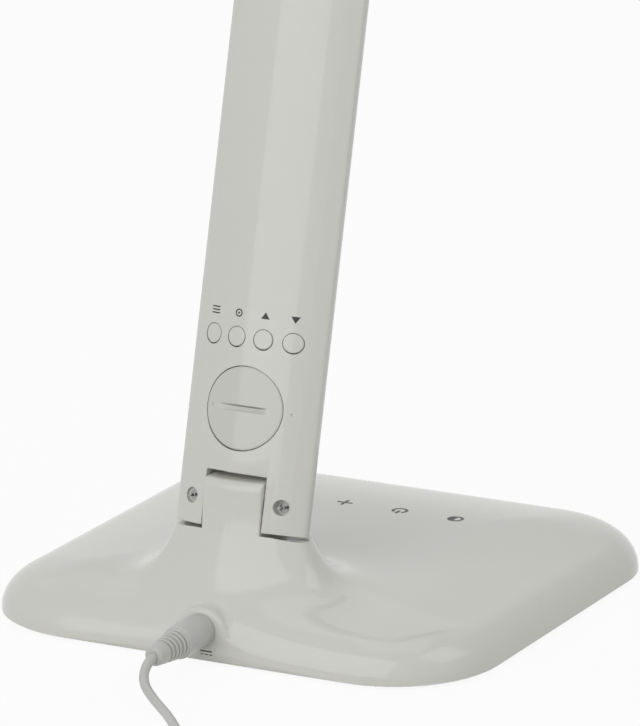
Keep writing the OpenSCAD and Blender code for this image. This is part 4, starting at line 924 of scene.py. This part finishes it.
# Head: a slim bar in two ABS mouldings, a rounded shell above and a flat bezel below, hung
# on a moulded neck that turns on the upper shaft.
HEAD_LOW = 7.5
HEAD_TOP = 19.0
BEZEL_TOP = 9.3
HEAD_P = (12.0, 290.0)
HEAD_CORNER = 8.0
HEAD_ROUND = 65.0
LIGHT_HALF = 17.0
LIGHT_P = (40.0, 272.0)
LIGHT_LIP = 1.8
BEZEL_SEAT = HEAD_LOW + 1.1
NECK_PLATE_HALF = 9.5
NECK_PLATE_Q = (10.2, 12.9)
head_place = Matrix.Translation(arm_place @ Vector((0, HEAD_AXIS_W, ARM_L))) @ Matrix.Rotation(math.pi/2, 4, "X")


def head_plan(inset, low, high):
    """The head's plan, drawn out between two heights."""
    arcs = corners(ARM_HALF - HEAD_CORNER, HEAD_P[0] + HEAD_CORNER, HEAD_P[1] - HEAD_CORNER,
                   HEAD_CORNER - inset, 10)
    return prism(sum(arcs, []), low, high, along=1)


def head_bar(inset, edge, low):
    outline = d_section(ARM_HALF - inset, HEAD_TOP - inset, HEAD_ROUND - inset, edge, low)
    return prism(outline, HEAD_P[0] - 1, HEAD_P[1] + 1)


shell = block("head_top_shell", head_bar(0, 2.5, BEZEL_TOP), head_place)
carve(shell, "INTERSECT", head_place, head_plan(0, BEZEL_TOP - 1, HEAD_TOP + 1))
soften(shell, 0.5, 3)
room_inside = block("room_inside", head_bar(WALL, 0.8, BEZEL_TOP - 1), head_place)
carve(room_inside, "INTERSECT", head_place, head_plan(WALL, BEZEL_TOP - 2, HEAD_TOP))
carve(shell, "DIFFERENCE", head_place, room_inside,
      box((-NECK_PLATE_HALF - 0.1, NECK_PLATE_Q[0] - 0.1, HEAD_P[0] - 1),
          (NECK_PLATE_HALF + 0.1, NECK_PLATE_Q[1] + 0.1, HEAD_P[0] + 3)))
finished(shell, white_abs, "head", ["head_shell"])

bezel = block("head_low_bezel", head_plan(0, HEAD_LOW, BEZEL_TOP), head_place)
carve(bezel, "DIFFERENCE", head_place, box((-LIGHT_HALF - 0.1, 0, LIGHT_P[0] - 0.1),
                                           (LIGHT_HALF + 0.1, 20, LIGHT_P[1] + 0.1)))
soften(bezel, 0.3)
bezel_spots = [(s*15.0, p) for s in (-1, 1) for p in (27.0, 281.0)]
carve(bezel, "DIFFERENCE", head_place, *[rod(u, p, r, 6, high) for u, p in bezel_spots
                                         for r, high in ((2.1, BEZEL_SEAT), (1.0, 12))])
finished(bezel, white_abs, "head", ["head_bezel"])

NECK_R = 7.5
neck_outline = [(q, p) for p, q in arc(0, 0, NECK_R, 180, 360, 32) + [
    (NECK_R, 5.6), (12, 8.5), (12, 18), (NECK_R/2, 18), (-0.7*NECK_R, 9), (-NECK_R, 3)]]
neck = block("head_neck_knuckle", prism(neck_outline, -TONGUE_HALF, TONGUE_HALF, along=0), head_place)
soften(neck, 0.4, 3)
carve(neck, "UNION", head_place,
      box((-NECK_PLATE_HALF, NECK_PLATE_Q[0], 11), (NECK_PLATE_HALF, NECK_PLATE_Q[1], 33.5)))
finished(neck, white_abs, "head", ["head_neck"])
for name, spots, q, shank in (("neck_screws", [(-6, 22), (6, 22)], NECK_PLATE_Q[0], 5.7),
                              ("bezel_screws", bezel_spots, BEZEL_SEAT, 4.7),
                              ("led_screws", [(0, 62), (0, 156), (0, 250)], 13.1, 3.0)):
    fasten(name, [head_place @ Vector((u, q, p)) for u, p in spots], 180.0, 1.9, 0.9, 1.0, shank, "head")

# Light: an opal acrylic panel that snaps into the bezel, over a white-faced aluminium board
# with two rows of lamps and a punched reflector sheet.
# opal acrylic: a milky white with a soft sheen; the rest: matt whites and a yellow phosphor
opal = finish("opal_acrylic", "#F4F4F0", "#EDEDE8", 0.3, 50, 3, 0.004, IOR=1.49)
panel = block("light_panel", box((-LIGHT_HALF, HEAD_LOW + 0.2, LIGHT_P[0]),
                                 (LIGHT_HALF, BEZEL_TOP + 0.8, LIGHT_P[1])), head_place)
soften(panel, 0.25)
carve(panel, "UNION", head_place, box((-LIGHT_HALF - LIGHT_LIP, BEZEL_TOP, LIGHT_P[0] - LIGHT_LIP),
                                      (LIGHT_HALF + LIGHT_LIP, BEZEL_TOP + 0.79, LIGHT_P[1] + LIGHT_LIP)))
finished(panel, opal, "head", ["diffuser"])
dress(finish("white_resist_on_aluminium", "#F0F0EC", "#E6E6E2", 0.45, 15, 0.8, 0.004), "led_board")
dress(finish("white_polyester_sheet", "#F4F4F2", "#ECECEA", 0.6, 10, 0.5, 0.006), "reflector_sheet")
dress(finish("yellow_phosphor", "#F0D873", "#E4C75A", 0.5, 1, 0.2, 0.01), "leds")

# Studio: a pale floor that runs white into the backdrop and keeps a soft shadow, a large
# softbox over the left shoulder of the viewpoint, a smaller one high on the right, and two
# weak ones, high in front of the lamp and overhead.
FLOOR_HALF = 6.0
FLOOR_Z = -0.0002
FLOOR_WHITE = 0.92
ROOM_LIGHT = 0.41


def backdrop_rays(tree):
    """1 for rays that show the backdrop, straight, in a mirror or through glass; 0 for those that light."""
    rays = add(tree, "ShaderNodeLightPath").outputs
    shown = add(tree, MATH, {0: rays["Is Camera Ray"], 1: rays["Is Glossy Ray"]}, operation="ADD")
    return add(tree, MATH, {0: shown, 1: rays["Is Transmission Ray"]}, operation="ADD", use_clamp=True)


floor_mesh = bpy.data.meshes.new("floor")
floor_mesh.from_pydata([(x*FLOOR_HALF, y*FLOOR_HALF, FLOOR_Z)
                        for x, y in ((-1, -1), (1, -1), (1, 1), (-1, 1))], [], [(0, 1, 2, 3)])
floor = stand("floor", floor_mesh)
paper = bpy.data.materials.new("matt_white_paper")
paper.use_nodes = True
tree = paper.node_tree
tree.nodes.clear()
seen = add(tree, MATH, {0: backdrop_rays(tree), 1: FLOOR_WHITE}, operation="MULTIPLY")
matt = add(tree, "ShaderNodeBsdfDiffuse", {"Color": colour("#F2F2F0")})
lit = add(tree, "ShaderNodeEmission", {"Color": (1, 1, 1, 1), "Strength": 1.0})
paper_mix = add(tree, "ShaderNodeMixShader", {0: seen, 1: matt, 2: lit})
add(tree, "ShaderNodeOutputMaterial", {"Surface": paper_mix})
floor_mesh.materials.append(paper)

room = bpy.data.worlds.new("room")
scene.world = room
room.use_nodes = True
tree = room.node_tree
tree.nodes.clear()
level_out = add(tree, "ShaderNodeMapRange", {
    "Value": backdrop_rays(tree), "To Min": ROOM_LIGHT, "To Max": 1.0})
sky = add(tree, "ShaderNodeBackground", {"Color": (1, 1, 1, 1), "Strength": level_out})
add(tree, "ShaderNodeOutputWorld", {"Surface": sky})


def softbox(name, place, aim, width, height, power):
    lamp = bpy.data.lights.new(name, "AREA")
    lamp.shape = "RECTANGLE"
    lamp.size = width
    lamp.size_y = height
    lamp.energy = power
    made = stand(name, lamp)
    made.location = place
    made.rotation_euler = (Vector(aim) - Vector(place)).to_track_quat("-Z", "Y").to_euler()


softbox("left_softbox", (0.2, 1.75, 1.1), (0, 0, 0.1), 2.0, 2.2, 17.8)
softbox("right_softbox", (-1.26, -0.2, 1.55), (0, 0, 0), 1.1, 1.0, 4.2)
softbox("front_softbox", (0.63, -1.36, 1.61), (0, 0, 0), 2.5, 1.35, 2.2)
softbox("overhead_softbox", (0.1, -0.2, 1.9), (0, 0, 0), 1.2, 1.2, 2.6)
